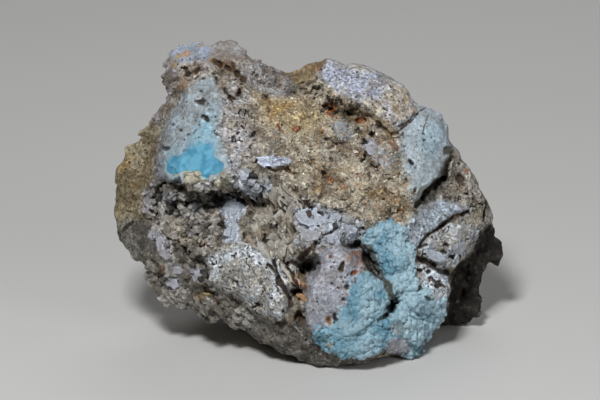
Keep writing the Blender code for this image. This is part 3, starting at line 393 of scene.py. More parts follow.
# Stains with no height of their own: x, u, half length, half width, turn, tone, strength
STAINS = [
    (31.4, 16.4, 5.0, 3.0, 80, "sky", 0.4), (24.8, 12.0, 2.4, 1.0, 80, "cream", 0.4),
    (10.0, 17.6, 3.4, 2.6, 60, "glass", 0.8), (19.4, 11.6, 4.4, 3.0, -50, "glass", 0.75),
    (6.0, 12.0, 4.0, 2.4, -40, "glass", 0.5), (14.0, 4.0, 4.0, 2.4, 20, "cream", 0.5),
    (-7.0, 16.0, 4.0, 2.4, 60, "glass", 0.45), (0.6, 9.6, 3.0, 2.0, 0, "cream", 0.5),
    (25.4, 6.0, 2.0, 1.2, 60, "cream", 0.7), (29.0, 3.6, 2.4, 1.2, 30, "cream", 0.5),
    (26.6, 14.6, 3.4, 1.3, 80, "white", 0.5), (33.6, 22.4, 3.4, 1.0, -20, "white", 0.5),
    (-25.2, 16.6, 4.6, 3.6, 84, "sky", 0.9), (-23.6, 21.6, 4.4, 2.4, 70, "sky", 0.4),
    (14.0, 34.6, 8.0, 1.5, -6, "cream", 0.7), (24.0, 29.6, 4.6, 1.6, -42, "cream", 0.6),
    (8.6, 30.0, 3.2, 1.0, -40, "cream", 0.4), (17.6, 24.2, 4.4, 1.2, -32, "cream", 0.7),
    (-26.0, 40.3, 1.1, 0.8, 20, "ochre", 0.8), (-29.8, 37.6, 1.4, 0.9, 15, "orange", 1.0),
    (-31.9, 37.4, 1.1, 0.9, -20, "ochre", 0.9), (-23.2, 35.9, 0.8, 0.7, 0, "ochre", 0.8),
    (-33.0, 35.0, 1.0, 0.6, 30, "ochre", 0.6), (-29.2, 28.2, 0.6, 0.4, 0, "ochre", 0.7),
    (-30.8, 29.3, 2.0, 0.8, 18, "orange", 0.5), (-38.2, 19.1, 2.2, 1.2, 70, "brown", 0.8),
    (-37.8, 14.6, 2.8, 0.9, 84, "brown", 0.5), (-39.3, 10.5, 2.6, 1.0, 68, "umber", 0.8),
    (-41.2, 6.6, 2.0, 0.9, 50, "umber", 0.8), (-42.6, 4.0, 1.9, 0.9, 78, "umber", 0.9),
    (-42.8, 1.2, 1.8, 0.9, 80, "umber", 0.7), (-45.0, 10.6, 3.0, 1.6, 60, "ochre", 0.5),
    (-25.9, -22.5, 1.4, 1.1, 30, "ochre", 0.8), (6.1, 6.1, 1.0, 0.8, 0, "rust", 1.0),
    (9.4, 4.7, 1.3, 0.8, -30, "rust", 0.9), (8.8, 6.2, 1.0, 0.5, 30, "orange", 0.8),
    (13.4, 7.4, 0.8, 0.6, 0, "rust", 0.7), (3.6, 4.2, 0.7, 0.5, 0, "orange", 0.7),
    (7.6, 3.4, 0.9, 0.6, 40, "orange", 0.5), (13.6, 5.0, 1.0, 0.6, -50, "orange", 0.5),
    (-6.4, 24.0, 2.4, 1.4, 20, "ochre", 0.7), (-2.8, 25.0, 1.8, 0.9, 0, "ochre", 0.6),
    (-8.2, 21.8, 2.0, 1.2, 60, "orange", 0.4), (4.3, 18.2, 1.3, 0.9, -60, "orange", 0.45),
    (15.2, 20.6, 1.4, 1.0, 70, "orange", 0.7), (18.6, 15.6, 1.0, 0.6, 0, "rust", 0.6),
    (21.6, 15.2, 1.2, 0.8, 40, "rust", 0.6), (20.4, 17.8, 1.4, 0.6, -30, "ochre", 0.6),
    (22.9, 14.2, 0.9, 0.6, -40, "rust", 0.7), (23.6, 8.0, 1.4, 1.0, 0, "ochre", 0.6),
    (24.6, 5.2, 1.0, 0.8, 60, "orange", 0.6), (26.6, 2.9, 1.4, 0.6, 70, "ochre", 0.7),
    (22.6, 0.8, 1.4, 0.6, 10, "ochre", 0.7), (24.0, -1.4, 1.6, 0.6, 30, "rust", 0.5),
    (18.6, -0.8, 1.0, 0.5, 0, "orange", 0.5), (40.3, 8.7, 0.7, 0.6, 0, "rust", 0.9),
    (38.6, 4.2, 1.2, 0.6, 40, "orange", 0.6), (40.5, -9.8, 1.2, 0.9, 20, "orange", 0.5),
    (36.0, -8.0, 1.6, 1.0, 30, "ochre", 0.35), (13.4, -13.8, 2.0, 0.9, 62, "rust", 0.8),
    (12.4, -12.0, 1.6, 0.9, 0, "rust", 0.9), (6.0, -34.6, 1.2, 0.8, 40, "ochre", 0.7),
    (23.1, -30.4, 2.3, 1.7, 0, "tan", 0.55), (23.1, -35.0, 3.2, 2.2, 0, "lilac", 0.8),
    (31.4, -18.8, 1.4, 0.7, 60, "orange", 0.4), (-2.2, -18.6, 2.2, 1.2, -52, "orange", 0.75),
    (-1.1, -22.6, 1.7, 1.0, -30, "orange", 0.9), (-0.4, -20.0, 1.4, 1.0, -50, "rust", 0.7),
    (-16.4, 28.4, 1.8, 1.0, 70, "rust", 0.5), (-18.8, 35.2, 2.6, 1.0, -35, "rust", 0.4),
    (3.4, 34.2, 2.4, 0.9, 20, "rust", 0.45), (25.0, 26.0, 1.6, 1.0, 60, "ochre", 0.6),
    (26.8, 23.4, 1.8, 0.8, 40, "orange", 0.45), (22.6, 24.0, 1.2, 0.7, -60, "ochre", 0.6),
    (-13.6, -9.4, 1.2, 0.6, 0, "orange", 0.4), (-24.8, -9.6, 1.4, 0.7, 20, "orange", 0.5),
    (3.6, -32.4, 1.9, 1.5, 30, "teal", 0.9), (43.4, -3.0, 3.4, 1.8, 60, "cream", 0.6),
    (-6.0, 25.0, 4.4, 2.0, 10, "amber", 0.45), (-0.4, 21.6, 2.6, 1.6, -40, "amber", 0.4),
    (10.4, 9.0, 3.0, 1.6, 20, "amber", 0.3), (18.0, 2.6, 4.0, 1.6, -10, "amber", 0.3),
    (9.4, -26.4, 2.6, 1.8, 50, "sky", 0.65), (11.2, -18.4, 2.6, 1.0, 85, "sky", 0.6),
    (4.2, -30.4, 3.0, 1.1, -20, "sky", 0.7), (-19.0, 33.6, 5.0, 2.0, -35, "umber", 0.35),
    (-21.0, 30.0, 2.0, 1.0, 60, "orange", 0.35), (10.8, -13.0, 1.0, 0.7, 60, "orange", 0.9),
    (8.9, -15.6, 1.3, 0.6, 80, "umber", 0.9),
]

# Crust growths: spacing, radii and how far each stands out, as a share of its radius
GROWTHS = [(2.6, (1.5, 2.3), 0.1), (1.5, (0.8, 1.3), 0.3), (0.95, (0.45, 0.7), 0.6)]

# Places without growths: middle and reach
BARE = [((23.1, -30.6), 2.2), ((23.1, -35.0), 3.0), ((21.7, -25.0), 2.2), ((19.6, -27.4), 1.3)]

# Angular blocks and blades: zone, spacing, lengths, widths, heights, main direction, its spread.
# The first are fused with the rock and the others stay crisp.
FUSED = [
    ("recess", 2.7, (1.8, 4.0), (1.3, 2.5), (0.7, 2.0), 20, 90),
    ("lower_left", 2.6, (2.4, 5.4), (1.2, 2.4), (0.2, 0.9), -38, 25),
    ("white_middle", 2.6, (1.6, 4.0), (1.0, 2.2), (0.2, 0.6), -30, 60),
    ("white_plates", 2.6, (1.8, 4.0), (1.0, 2.2), (0.2, 0.5), 70, 40),
    ("under_patch", 2.2, (1.6, 3.6), (1.1, 2.4), (0.3, 0.9), 10, 70),
    ("saddle", 2.2, (1.2, 3.0), (0.9, 1.8), (0.2, 0.8), 0, 90),
    ("basin", 3.2, (2.0, 5.2), (1.6, 3.6), (0.4, 1.3), 0, 90),
    ("yellow_basin", 3.2, (2.0, 4.6), (1.6, 3.4), (0.3, 1.0), 0, 90),
    ("lilac_band", 2.0, (1.6, 3.6), (0.9, 1.7), (0.2, 0.7), 75, 25),
    ("shaded_back_rock", 3.6, (2.0, 4.4), (1.6, 3.2), (0.2, 0.8), 60, 60),
    ("horn_side", 2.0, (1.4, 3.2), (0.9, 1.7), (0.2, 0.6), 65, 30),
    ("rest", 4.2, (2.0, 5.2), (1.6, 3.6), (0.1, 0.6), 40, 90),
]
CRISP = [
    ("recess", 2.3, (0.9, 2.2), (0.7, 1.5), (0.4, 1.3), 20, 90),
    ("bladed", 1.9, (2.6, 5.6), (0.5, 1.0), (0.1, 0.8), -62, 22),
    ("under_patch", 2.4, (1.2, 3.0), (1.0, 2.2), (0.2, 0.9), 10, 70),
    ("lower_left", 3.6, (1.6, 4.0), (0.9, 1.8), (0.1, 0.6), -38, 30),
    ("white_middle", 3.4, (1.6, 3.6), (1.0, 2.0), (0.1, 0.4), -30, 60),
]

# Least forward part of the surface's normal where the blocks and crystals of a zone stand
BLOCK_FACING = 0.25

# How a ball of the crust is divided, and the skirt that roots a plate in the face, in millimetres
BALL_RINGS = 2
PLATE_ROOT = 1.6

# How far in front of the face rays start, and the gap between rows of scattered places, as a share
# of the gap within a row
RAY_START = 80.0
ROW_SPACING = 0.87

# Reach of a crack round its middle, and the most that the distance outside an outline is told
CRACK_REACH = 12
FAR = 4.0

# Rounds of averaging: where the stone looks, the broad way of its surface, its facets and its rim
FACING_ROUNDS = 20
BROAD_ROUNDS = 12
FACET_ROUNDS = 7
RIM_ROUNDS = 20

# The photograph's view: the camera looks square at the face, from 1.5 m, and the frame is 150 mm
# wide there. The face's middle is 5 pixels right of the frame's middle and 5 below it.
VIEW_DISTANCE = 1.5
VIEW_WIDTH = 0.15
SENSOR = 36.0
FRAME_PIXELS = 600
OFF_MIDDLE_PIXELS = 5

# Lights: name, place and width in metres, power in watts
LIGHTS = [
    ("key", (-0.12, -0.44, 0.6), 0.14, 4.4),
    ("fill", (0.55, -0.5, 0.3), 0.3, 0.9),
    ("rim", (0.1, 0.5, 0.5), 0.4, 0.8),
]
WORLD_STRENGTH = 0.055

# Half the width of the floor in metres
FLOOR_SIZE = 3.0


def rgb(tone):
    """A tone's name or an sRGB colour from 0 to 255, as a linear colour from 0 to 1."""
    values = np.array(TONES[tone] if isinstance(tone, str) else tone) / 255
    return np.where(values <= 0.04045, values / 12.92, ((values + 0.055) / 1.055) ** 2.4)


def smooth(edge_0, edge_1, value):
    """0 below edge_0, 1 above edge_1 and an even curve between them."""
    t = np.clip((value - edge_0) / (edge_1 - edge_0), 0, 1)
    return t * t * (3 - 2 * t)


def to_face(points):
    """Face coordinates of points in the row frame, both in millimetres."""
    c, s = math.cos(math.radians(FACE_LEAN)), math.sin(math.radians(FACE_LEAN))
    x, y, z = (points - FACE_CENTRE).T
    return np.column_stack([x, y * s + z * c, z * s - y * c])


def to_row(points):
    """Row coordinates of points on the face, both in millimetres."""
    c, s = math.cos(math.radians(FACE_LEAN)), math.sin(math.radians(FACE_LEAN))
    x, u, f = points.T
    return np.column_stack([x, u * s - f * c, u * c + f * s]) + FACE_CENTRE


def coordinates(mesh):
    """The mesh's vertices as an array, one row each."""
    points = np.empty(len(mesh.vertices) * 3, np.float32)
    mesh.vertices.foreach_get("co", points)
    return points.reshape(-1, 3).astype(float)


def set_coordinates(mesh, points):
    """Moves the mesh's vertices to the rows of an array."""
    mesh.vertices.foreach_set("co", points.astype(np.float32).ravel())
    mesh.update()


def normals_of(mesh):
    """The vertex normals as an array, one row each."""
    normals = np.empty(len(mesh.vertices) * 3, np.float32)
    mesh.vertex_normals.foreach_get("vector", normals)
    return normals.reshape(-1, 3).astype(float)


def edges_of(mesh):
    """The two ends of each edge, one row each."""
    edges = np.empty(len(mesh.edges) * 2, np.int32)
    mesh.edges.foreach_get("vertices", edges)
    return edges.reshape(-1, 2)


def shape_of(mesh):
    """The mesh's vertices, their normals and its edges."""
    return coordinates(mesh), normals_of(mesh), edges_of(mesh)


def unit(vectors):
    """The same ways as vectors of length 1, one row each."""
    return vectors / np.linalg.norm(vectors, axis=1)[:, None]


def averaged(values, edges, rounds, pulls=(0.5,)):
    """Values smoothed over the mesh: each moves part of the way to the mean of its neighbours."""
    values = values.copy()
    columns = values if values.ndim == 2 else values[:, None]
    starts, ends = (np.ascontiguousarray(side) for side in edges.T)
    count = len(columns)
    shared = 1 / np.maximum(np.bincount(starts, minlength=count) + np.bincount(ends, minlength=count), 1)
    for k in range(columns.shape[1]):
        column = np.ascontiguousarray(columns[:, k])
        for pull in pulls * rounds:
            total = np.bincount(starts, column[ends], count)
            total += np.bincount(ends, column[starts], count)
            column += pull * (total * shared - column)
        columns[:, k] = column
    return values


def mesh_from(points, faces, name):
    """A mesh of points and faces."""
    mesh = bpy.data.meshes.new(name)
    mesh.from_pydata([tuple(p) for p in points], [], faces)
    mesh.update()
    return mesh


def with_modifier(holder, kind, **settings):
    """The mesh of an object after one modifier. The object is removed."""
    bpy.context.scene.collection.objects.link(holder)
    modifier = holder.modifiers.new(kind, kind)
    for name, value in settings.items():
        setattr(modifier, name, value)
    bpy.context.view_layer.update()
    graph = bpy.context.evaluated_depsgraph_get()
    result = bpy.data.meshes.new_from_object(holder.evaluated_get(graph))
    bpy.data.objects.remove(holder)
    return result


def evened(mesh, voxel):
    """The same outer surface with faces of an even size, as one closed skin."""
    holder = bpy.data.objects.new("evened", mesh)
    return with_modifier(holder, "REMESH", mode="VOXEL", voxel_size=voxel)


def lattice(points, size, seed, steps):
    """Cells of a lattice over points: places within them, and for each step three rows of keys."""
    scaled = np.ascontiguousarray((points / size).T, np.float32)
    base = np.floor(scaled)
    cell = base.astype(np.int32).view(np.uint32)
    salt = np.uint32(seed * LATTICE_SALT[0] + LATTICE_SALT[1])
    keys = [
        [(row + np.uint32(step % 2**32)) * np.uint32(prime) ^ salt for step in steps]
        for row, prime in zip(cell, LATTICE_PRIMES)
    ]
    return scaled - base, keys


def scrambled(number):
    """Another random 32-bit number from each one."""
    number = number ^ (number >> np.uint32(15))
    number *= np.uint32(SCRAMBLERS[0])
    number ^= number >> np.uint32(12)
    number *= np.uint32(SCRAMBLERS[1])
    number ^= number >> np.uint32(15)
    return number


def waves(points, size, seed):
    """Smooth noise from -1 to 1, whose swells are about size apart."""
    t, keys = lattice(points, size, seed, (0, 1))
    t = t * t * (3 - 2 * t)
    ends = (1 - t, t)
    total = np.zeros(len(points), np.float32)
    for i, j, k in itertools.product((0, 1), repeat=3):
        number = scrambled(keys[0][i] ^ keys[1][j] ^ keys[2][k])
        total += ends[i][0] * ends[j][1] * ends[k][2] * number.astype(np.float32)
    return total / 2.0**31 - 1


def layered(points, size, seed, layers=3):
    """Noise of several sizes, each half as large and as strong as the one before it."""
    total = sum(waves(points, size / 2**k, seed + k) / 2**k for k in range(layers))
    return total / (2 - 0.5 ** (layers - 1))


def cells(points, size, seed):
    """The nearest scattered seed to each point: distance, gap to the next one, way to it, mark."""
    within, keys = lattice(points, size, seed, (-1, 0, 1))
    near = np.full(len(points), 9.0, np.float32)
    next_near = near.copy()
    way = np.zeros_like(within)
    number = np.zeros(len(points), np.uint32)
    for step in itertools.product((0, 1, 2), repeat=3):
        found = scrambled(keys[0][step[0]] ^ keys[1][step[1]] ^ keys[2][step[2]])
        to_spot = [
            within[axis] + np.float32(1 - step[axis])
            - ((found >> np.uint32(10 * axis)) & np.uint32(1023)).astype(np.float32) / np.float32(1023)
            for axis in range(3)
        ]
        away = to_spot[0] ** 2 + to_spot[1] ** 2 + to_spot[2] ** 2
        closer = away < near
        next_near = np.minimum(next_near, np.maximum(away, near))
        np.copyto(near, away, where=closer)
        np.copyto(number, found, where=closer)
        for axis in range(3):
            np.copyto(way[axis], to_spot[axis], where=closer)
    near, next_near = np.sqrt(near), np.sqrt(next_near)
    mark = scrambled(number).astype(np.float32) / np.float32(2.0**32)
    return near * size, (next_near - near) * size, way * size, mark


def segment_gap(x, u, start, end):
    """Distance to the straight line between two points."""
    dx, du = end[0] - start[0], end[1] - start[1]
    t = np.clip(((x - start[0]) * dx + (u - start[1]) * du) / (dx * dx + du * du), 0, 1)
    return np.hypot(x - start[0] - t * dx, u - start[1] - t * du)


def side_distance(x, u, outline):
    """Distance to a closed outline, positive inside it and at least -FAR outside."""
    points = np.array(outline, float)
    low, high = points.min(0) - FAR, points.max(0) + FAR
    distance = np.full(len(x), -FAR)
    near = (x > low[0]) & (x < high[0]) & (u > low[1]) & (u < high[1])
    px, pu = x[near], u[near]
    gap = np.full(len(px), FAR)
    inside = np.zeros(len(px), bool)
    for (ax, au), (bx, bu) in zip(points, np.roll(points, -1, axis=0)):
        gap = np.minimum(gap, segment_gap(px, pu, (ax, au), (bx, bu)))
        crosses = (au > pu) != (bu > pu)
        inside ^= crosses & (px < ax + (bx - ax) * (pu - au) / ((bu - au) or 1e-9))
    distance[near] = np.where(inside, gap, -gap)
    return distance


def oval_reach(x, u, place):
    """How far each point is from an oval's middle, as a share of the way to its rim."""
    middle_x, middle_u, half_length, half_width, turn = place
    c, s = math.cos(math.radians(turn)), math.sin(math.radians(turn))
    dx, du = x - middle_x, u - middle_u
    return (dx * c + du * s) / half_length, (du * c - dx * s) / half_width


def line_gap(x, u, line):
    """Distance to a line of points."""
    return np.min([segment_gap(x, u, start, end) for start, end in zip(line[:-1], line[1:])], axis=0)


def nearby(x, u, middle, reach):
    """Which points lie within reach of a place."""
    return np.flatnonzero((np.abs(x - middle[0]) < reach) & (np.abs(u - middle[1]) < reach))


def ragged(points, seed, reach=0.35):
    """x and u with their outlines made ragged by fine noise."""
    flat = points * (1, 1, 0)
    x = points[:, 0] + reach * layered(flat, 1.3, seed)
    u = points[:, 1] + reach * layered(flat, 1.3, seed + 7)
    return x, u


def crack_share(x, u, line, half_width):
    """How far inside a crack each point lies, from 0 to 1, its width uneven."""
    flat = np.column_stack([x, u, np.zeros(len(x))])
    gap = line_gap(x, u, line) / (half_width * (1 + 0.7 * layered(flat, 1.8, 24)))
    return 1 - smooth(0.45, 1.15, gap)


def hole_share(x, u, place):
    """How far inside a hole each point lies, from 0 to 1, its rim uneven."""
    flat = np.column_stack([x, u, np.zeros(len(x))])
    size = min(1.2, place[2])
    reach = np.hypot(*oval_reach(x, u, place)) * (1 + 0.95 * layered(flat, size, 25))
    return 1 - smooth(0.5, 1.1, reach)


def carved(points):
    """How far forward the listed holes and cracks move each point of the face."""
    x, u = ragged(points, 21)
    height = np.zeros(len(points))
    for line, half_width, depth, _ in CRACKS:
        near = nearby(x, u, np.mean(line, axis=0), CRACK_REACH)
        height[near] -= depth * crack_share(x[near], u[near], line, half_width)
    for *place, depth, _ in HOLES:
        near = nearby(x, u, place, 2 * place[2])
        height[near] -= depth * hole_share(x[near], u[near], place)
    return height


def zone_weights(points, facing):
    """Each zone's share of the surface at each point, later zones over earlier ones."""
    x, u = ragged(points, 31, 0.9)
    left = np.ones(len(points))
    shares = {}
    for name, (outline, *_) in reversed(ZONES.items()):
        soft = SOFT.get(name, 0.4)
        share = smooth(-soft, soft, side_distance(x, u, outline)) * facing * left
        shares[name] = share
        left = left - share
    shares["rest"] = left
    return shares


def styled(shares, trait):
    """One trait of the zones at each point, colours as linear ones."""
    column = TRAITS.index(trait)
    total = 0
    for name, share in shares.items():
        value = (REST if name == "rest" else ZONES[name][1:])[column]
        total = total + (share[:, None] * rgb(value) if column < 2 else share * value)
    return total


def facing_front(normals, edges):
    """1 where the surface as a whole looks out of the face, 0 on the far sides and the back."""
    return smooth(-0.35, 0.1, averaged(normals[:, 2], edges, FACING_ROUNDS))


def stone_form():
    """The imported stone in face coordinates, evened and with its facets smoothed away."""
    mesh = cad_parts[NODE].data.copy()
    set_coordinates(mesh, to_face(coordinates(mesh) / MM))
    mesh = evened(mesh, FORM_VOXEL)
    points, edges = coordinates(mesh), edges_of(mesh)
    points = averaged(points, edges, FACET_ROUNDS, (0.5, -0.51))
    rounder = averaged(points, edges, RIM_ROUNDS)
    rim = 1 - smooth(0.25, 0.6, np.abs(averaged(normals_of(mesh), edges, 6)[:, 2]))
    points += 0.85 * rim[:, None] * (rounder - points)
    for x, u, reach, way_x, way_u in NUDGES:
        away = np.hypot(points[:, 0] - x, points[:, 1] - u)
        points[:, :2] += smooth(reach, 0, away)[:, None] * (way_x, way_u)
    set_coordinates(mesh, points)
    return mesh


def tree_over(mesh):
    """The mesh's faces in a form that finds where a ray meets them."""
    return BVHTree.FromPolygons(
        [tuple(v.co) for v in mesh.vertices], [tuple(p.vertices) for p in mesh.polygons]
    )


def on_face(tree, x, u):
    """Where the display face lies at (x, u), and the way it looks."""
    place, normal, _, _ = tree.ray_cast(Vector((x, u, RAY_START)), Vector((0.0, 0.0, -1.0)))
    return place, normal


def scattered(outline, spacing, dice):
    """Places inside an outline, about spacing apart."""
    points = np.array(outline, float)
    low, high = points.min(0), points.max(0)
    spots = []
    rows = int((high[1] - low[1]) / (ROW_SPACING * spacing)) + 1
    for row in range(rows):
        u = low[1] + ROW_SPACING * spacing * row
        x = low[0] + (row % 2) * spacing / 2
        while x < high[0]:
            spots.append((x + dice.uniform(-0.4, 0.4) * spacing, u + dice.uniform(-0.4, 0.4) * spacing))
            x += spacing
    spots = np.array(spots)
    return spots[side_distance(spots[:, 0], spots[:, 1], outline) > 0]


def joined(meshes):
    """Several meshes as one."""
    bm = bmesh.new()
    for mesh in meshes:
        bm.from_mesh(mesh)
    whole = bpy.data.meshes.new("joined")
    bm.to_mesh(whole)
    bm.free()
    return whole


def carved_rock(form):
    """The stone with its broad facets, the listed holes and cracks, and the blocks that stand on it."""
    mesh = evened(form, CARVE_VOXEL)
    points, normals, edges = shape_of(mesh)
    facing = facing_front(normals, edges)
    shares = zone_weights(points, facing)
    broken = styled(shares, "broken")
    relief = (0.15 + 0.85 * broken) * chunks(points, 5.2, 5, 0.35, 0.55)
    relief += broken * chunks(points, 2.9, 6, 0.3, 0.4)
    relief += 0.2 * layered(points, 2.6, 9) - 0.8 * broken
    points += relief[:, None] * normals
    set_coordinates(mesh, points)
    tree = tree_over(mesh)
    ways = unit(averaged(normals_of(mesh), edges, BROAD_ROUNDS))
    standing = blades({"points": points, "normals": ways, "shares": shares})
    points[:, 2] += carved(points) * smooth(0.0, 0.3, averaged(normals[:, 2], edges, 4))
    set_coordinates(mesh, points)
    return evened(joined([mesh, standing]), ROCK_VOXEL), tree


def plates(tree):
    """The listed plates and blocks: prisms with a smaller top, that follow the face under them."""
    points, faces = [], []
    outlines = [(np.array(outline, float), rise) for outline, rise, _ in PLATES]
    outlines += [(block_outline(*block[:6], k), block[5]) for k, block in enumerate(BLOCKS)]
    for outline, rise in outlines:
        middle = outline.mean(0)
        inset = middle + (outline - middle) * max(0.7, 1 - 0.5 * rise / np.ptp(outline, axis=0).min())
        level = [on_face(tree, x, u)[0] for x, u in outline]
        if None in level:
            continue
        level = np.array([place[2] for place in level])
        flat = 0.5 * level + 0.5 * level.mean()
        n, start = len(outline), len(points)
        points += [(x, u, f - PLATE_ROOT) for (x, u), f in zip(outline, level)]
        points += [(x, u, f + rise) for (x, u), f in zip(inset, flat)]
        faces += [[start + i for i in reversed(range(n))], [start + n + i for i in range(n)]]
        faces += [[start + i, start + (i + 1) % n, start + n + (i + 1) % n, start + n + i] for i in range(n)]
    return mesh_from(points, faces, "plates")


def block_outline(x, u, half_length, half_width, turn, rise, seed):
    """An angular outline that fills an oval."""
    dice = random.Random(seed)
    count = dice.choice((5, 6, 6, 7))
    c, s = math.cos(math.radians(turn)), math.sin(math.radians(turn))
    outline = []
    for i in range(count):
        angle = 2 * math.pi * (i + dice.uniform(-0.25, 0.25)) / count
        reach = dice.uniform(0.95, 1.15)
        along, across = reach * half_length * math.cos(angle), reach * half_width * math.sin(angle)
        outline.append((x + along * c - across * s, u + along * s + across * c))
    return np.array(outline)


def chunks(points, size, seed, tilt, step):
    """Broken facets: cells of a size, each with a flat top of its own height and slope."""
    warp = np.column_stack([waves(points, 0.7 * size, seed + k) for k in (1, 2, 3)])
    _, _, way, mark = cells(points + 0.22 * size * warp, size, seed)
    lean = np.stack([mark, mark * 3.7 % 1, mark * 9.1 % 1]) * 2 - 1
    return tilt * (way * lean).sum(0) + step * (2 * (mark * 5.3 % 1) - 1)


def worms(points, size, width, seed):
    """Short curved cracks in patches, from 0 to 1 where they are deepest."""
    warp = np.column_stack([waves(points, 0.8 * size, seed + k) for k in (1, 2, 3)])
    gap = cells(points + 0.4 * size * warp, size, seed)[1]
    patch = smooth(0.2, 0.5, waves(points, 0.8 * size, seed + 5))
    return (1 - smooth(0.3 * width, width, gap)) * patch


def pits(points, size, seed, share, radius):
    """Small ragged pits in some cells, from 0 to 1 where they are deepest."""
    near, _, _, mark = cells(points, size, seed)
    near = near + 0.3 * radius * layered(points, 0.9 * radius, seed + 3, 2)
    wide = radius * (0.5 + (mark * 7.3 % 1))
    crowd = 0.25 + 1.3 * smooth(-0.5, 0.6, waves(points, 7.0, seed + 9))
    return np.where(mark < share * crowd, 1 - smooth(0.45 * wide, wide, near), 0)


def fine_relief(points, shares, facing):
    """The finest relief that the mesh can hold, and how deep each point lies in a pit or crack."""
    broken, pitted, sugary, wormy = (styled(shares, trait) for trait in TRAITS[2:])
    coarse = np.maximum(broken, 0.7 * sugary)
    height = 0.05 * layered(points, 0.8, 40)
    height += (0.1 + 0.6 * coarse) * chunks(points, 2.1, 41, 0.3, 0.16)
    height += (0.05 + 0.5 * coarse) * chunks(points, 0.9, 42, 0.4, 0.07)
    small = pits(points, 1.05, 51, 0.6 * pitted, 0.3)
    wide = pits(points, 2.7, 52, 0.22 * pitted, 0.6)
    curved = worms(points, 2.2, 0.34, 55) * smooth(0.1, 0.6, wormy)
    height -= 0.35 * small + 0.9 * wide + 0.75 * curved
    clear = 1 - 0.9 * smooth(-0.5, 0.3, side_distance(*ragged(points, 3), SKY_PATCH)) * facing
    return height * clear, np.maximum(np.maximum(0.8 * small, wide), curved) * clear


def add_attribute(mesh, name, values):
    """Keeps a number or a colour at each vertex for the materials."""
    if values.ndim == 2:
        layer = mesh.attributes.new(name, "FLOAT_COLOR", "POINT")
        rgba = np.column_stack([values, np.ones(len(values))])
        layer.data.foreach_set("color", rgba.astype(np.float32).ravel())
    else:
        layer = mesh.attributes.new(name, "FLOAT", "POINT")
        layer.data.foreach_set("value", values.astype(np.float32))


def tint(colour, share, tone, where=slice(None)):
    """Moves the colours at some points part of the way to a tone."""
    colour[where] += share[:, None] * (rgb(tone) - colour[where])


def stained(points, colour, facing):
    """The ground's colour with the tones of the holes, cracks, blocks and stains; the black tone in holes
    and cracks is painted shade.
    """
    x, u = ragged(points, 21)
    for *place, _, tone in BLOCKS:
        near = nearby(x, u, place, 1.6 * place[2])
        along, across = oval_reach(x[near], u[near], place)
        edge = (np.abs(along) ** 4 + np.abs(across) ** 4) ** 0.25
        tint(colour, 0.75 * (1 - smooth(0.9, 1.1, edge)) * facing[near], tone, near)
    for outline, _, tone in PLATES:
        tint(colour, 0.75 * smooth(-0.15, 0.2, side_distance(x, u, outline)) * facing, tone)
    rough_x, rough_u = ragged(points, 61, 0.6)
    for *place, tone, strength in STAINS:
        near = nearby(x, u, place, 1.8 * place[2])
        reach = np.hypot(*oval_reach(rough_x[near], rough_u[near], place))
        patchy = np.clip(0.65 + 0.5 * layered(points[near], 0.9, 63), 0, 1)
        tint(colour, strength * patchy * (1 - smooth(0.5, 1.25, reach)) * facing[near], tone, near)
    for line, half_width, _, tone in CRACKS:
        near = nearby(x, u, np.mean(line, axis=0), CRACK_REACH)
        tint(colour, 0.92 * crack_share(x[near], u[near], line, half_width) * facing[near], tone, near)
    for *place, _, tone in HOLES:
        near = nearby(x, u, place, 2 * place[2])
        tint(colour, 0.92 * hole_share(x[near], u[near], place) * facing[near], tone, near)
    return colour


def dress(mesh):
    """Gives the rock its finest relief, and works out what its material needs at each vertex."""
    points, normals, edges = shape_of(mesh)
    facing = facing_front(normals, edges)
    shares = zone_weights(points, facing)
    height, pore = fine_relief(points, shares, facing)
    first, second = styled(shares, "first tone"), styled(shares, "second tone")
    mixed = smooth(-0.2, 0.3, layered(points, 3.4, 71, 4))[:, None]
    colour = first + (second - first) * mixed * 0.85
    for tone, size, seed, strength in (("cream", 9.0, 73, 0.85), ("umber", 6.0, 74, 0.7)):
        weathered = smooth(-0.02, 0.2, layered(points, size, seed))
        tint(colour, strength * weathered * (1 - facing) ** 2, tone)
    grain = cells(points, 1.5, 72)[3]
    colour *= (1 + 0.24 * (grain - 0.5) * styled(shares, "broken"))[:, None]
    sky = side_distance(*ragged(points, 3, 0.4), SKY_PATCH) * facing - FAR * (1 - facing)
    rim = smooth(-0.7, -0.2, sky) * (1 - smooth(0.0, 0.25, sky)) * (1 - smooth(8.5, 11.0, points[:, 1]))
    sky *= 1 - 0.8 * smooth(10.5, 14.5, points[:, 1]) * smooth(-3.5, -1.0, sky)
    colour = stained(points, colour, facing)
    points += height[:, None] * normals
    set_coordinates(mesh, points)
    mark_hollows(mesh, edges)
    add_attribute(mesh, "ground", colour)
    add_attribute(mesh, "pore", pore)
    add_attribute(mesh, "sky", sky)
    add_attribute(mesh, "rim", rim)
    for trait in TRAITS[3:]:
        add_attribute(mesh, trait, styled(shares, trait))
    return shares, colour


def mark_hollows(mesh, edges):
    """Marks how deep each vertex lies in a hollow, and how far it stands out on a crest."""
    points, normals = coordinates(mesh), normals_of(mesh)
    near = averaged(points, edges, 10)
    sunk = ((near - points) * normals).sum(1)
    sunk += 0.6 * ((averaged(near, edges, 25) - points) * normals).sum(1)
    add_attribute(mesh, "hollow", smooth(0.05, 0.6, sunk))
    add_attribute(mesh, "crest", smooth(0.03, 0.3, -sunk))


def settle(mesh):
    """Turns the mesh from the face's plane to how the stone stands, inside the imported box."""
    points = to_row(coordinates(mesh)) * MM
    low, high = np.array(CAD_BOX[0]), np.array(CAD_BOX[1])
    foot = np.maximum(points[:, 2], low[2])
    points = high - eased(high - points)
    points = low + eased(points - low)
    points[:, 2] = np.where(foot < low[2] + 2 * RIM, foot, points[:, 2])
    set_coordinates(mesh, points)


def eased(inward):
    """Distances inward from a limit, with those under a rim's width kept from passing it."""
    t = np.maximum((inward - RIM) / RIM, -3)
    return np.where(t < 0, RIM * (1 + np.tanh(t)), inward)


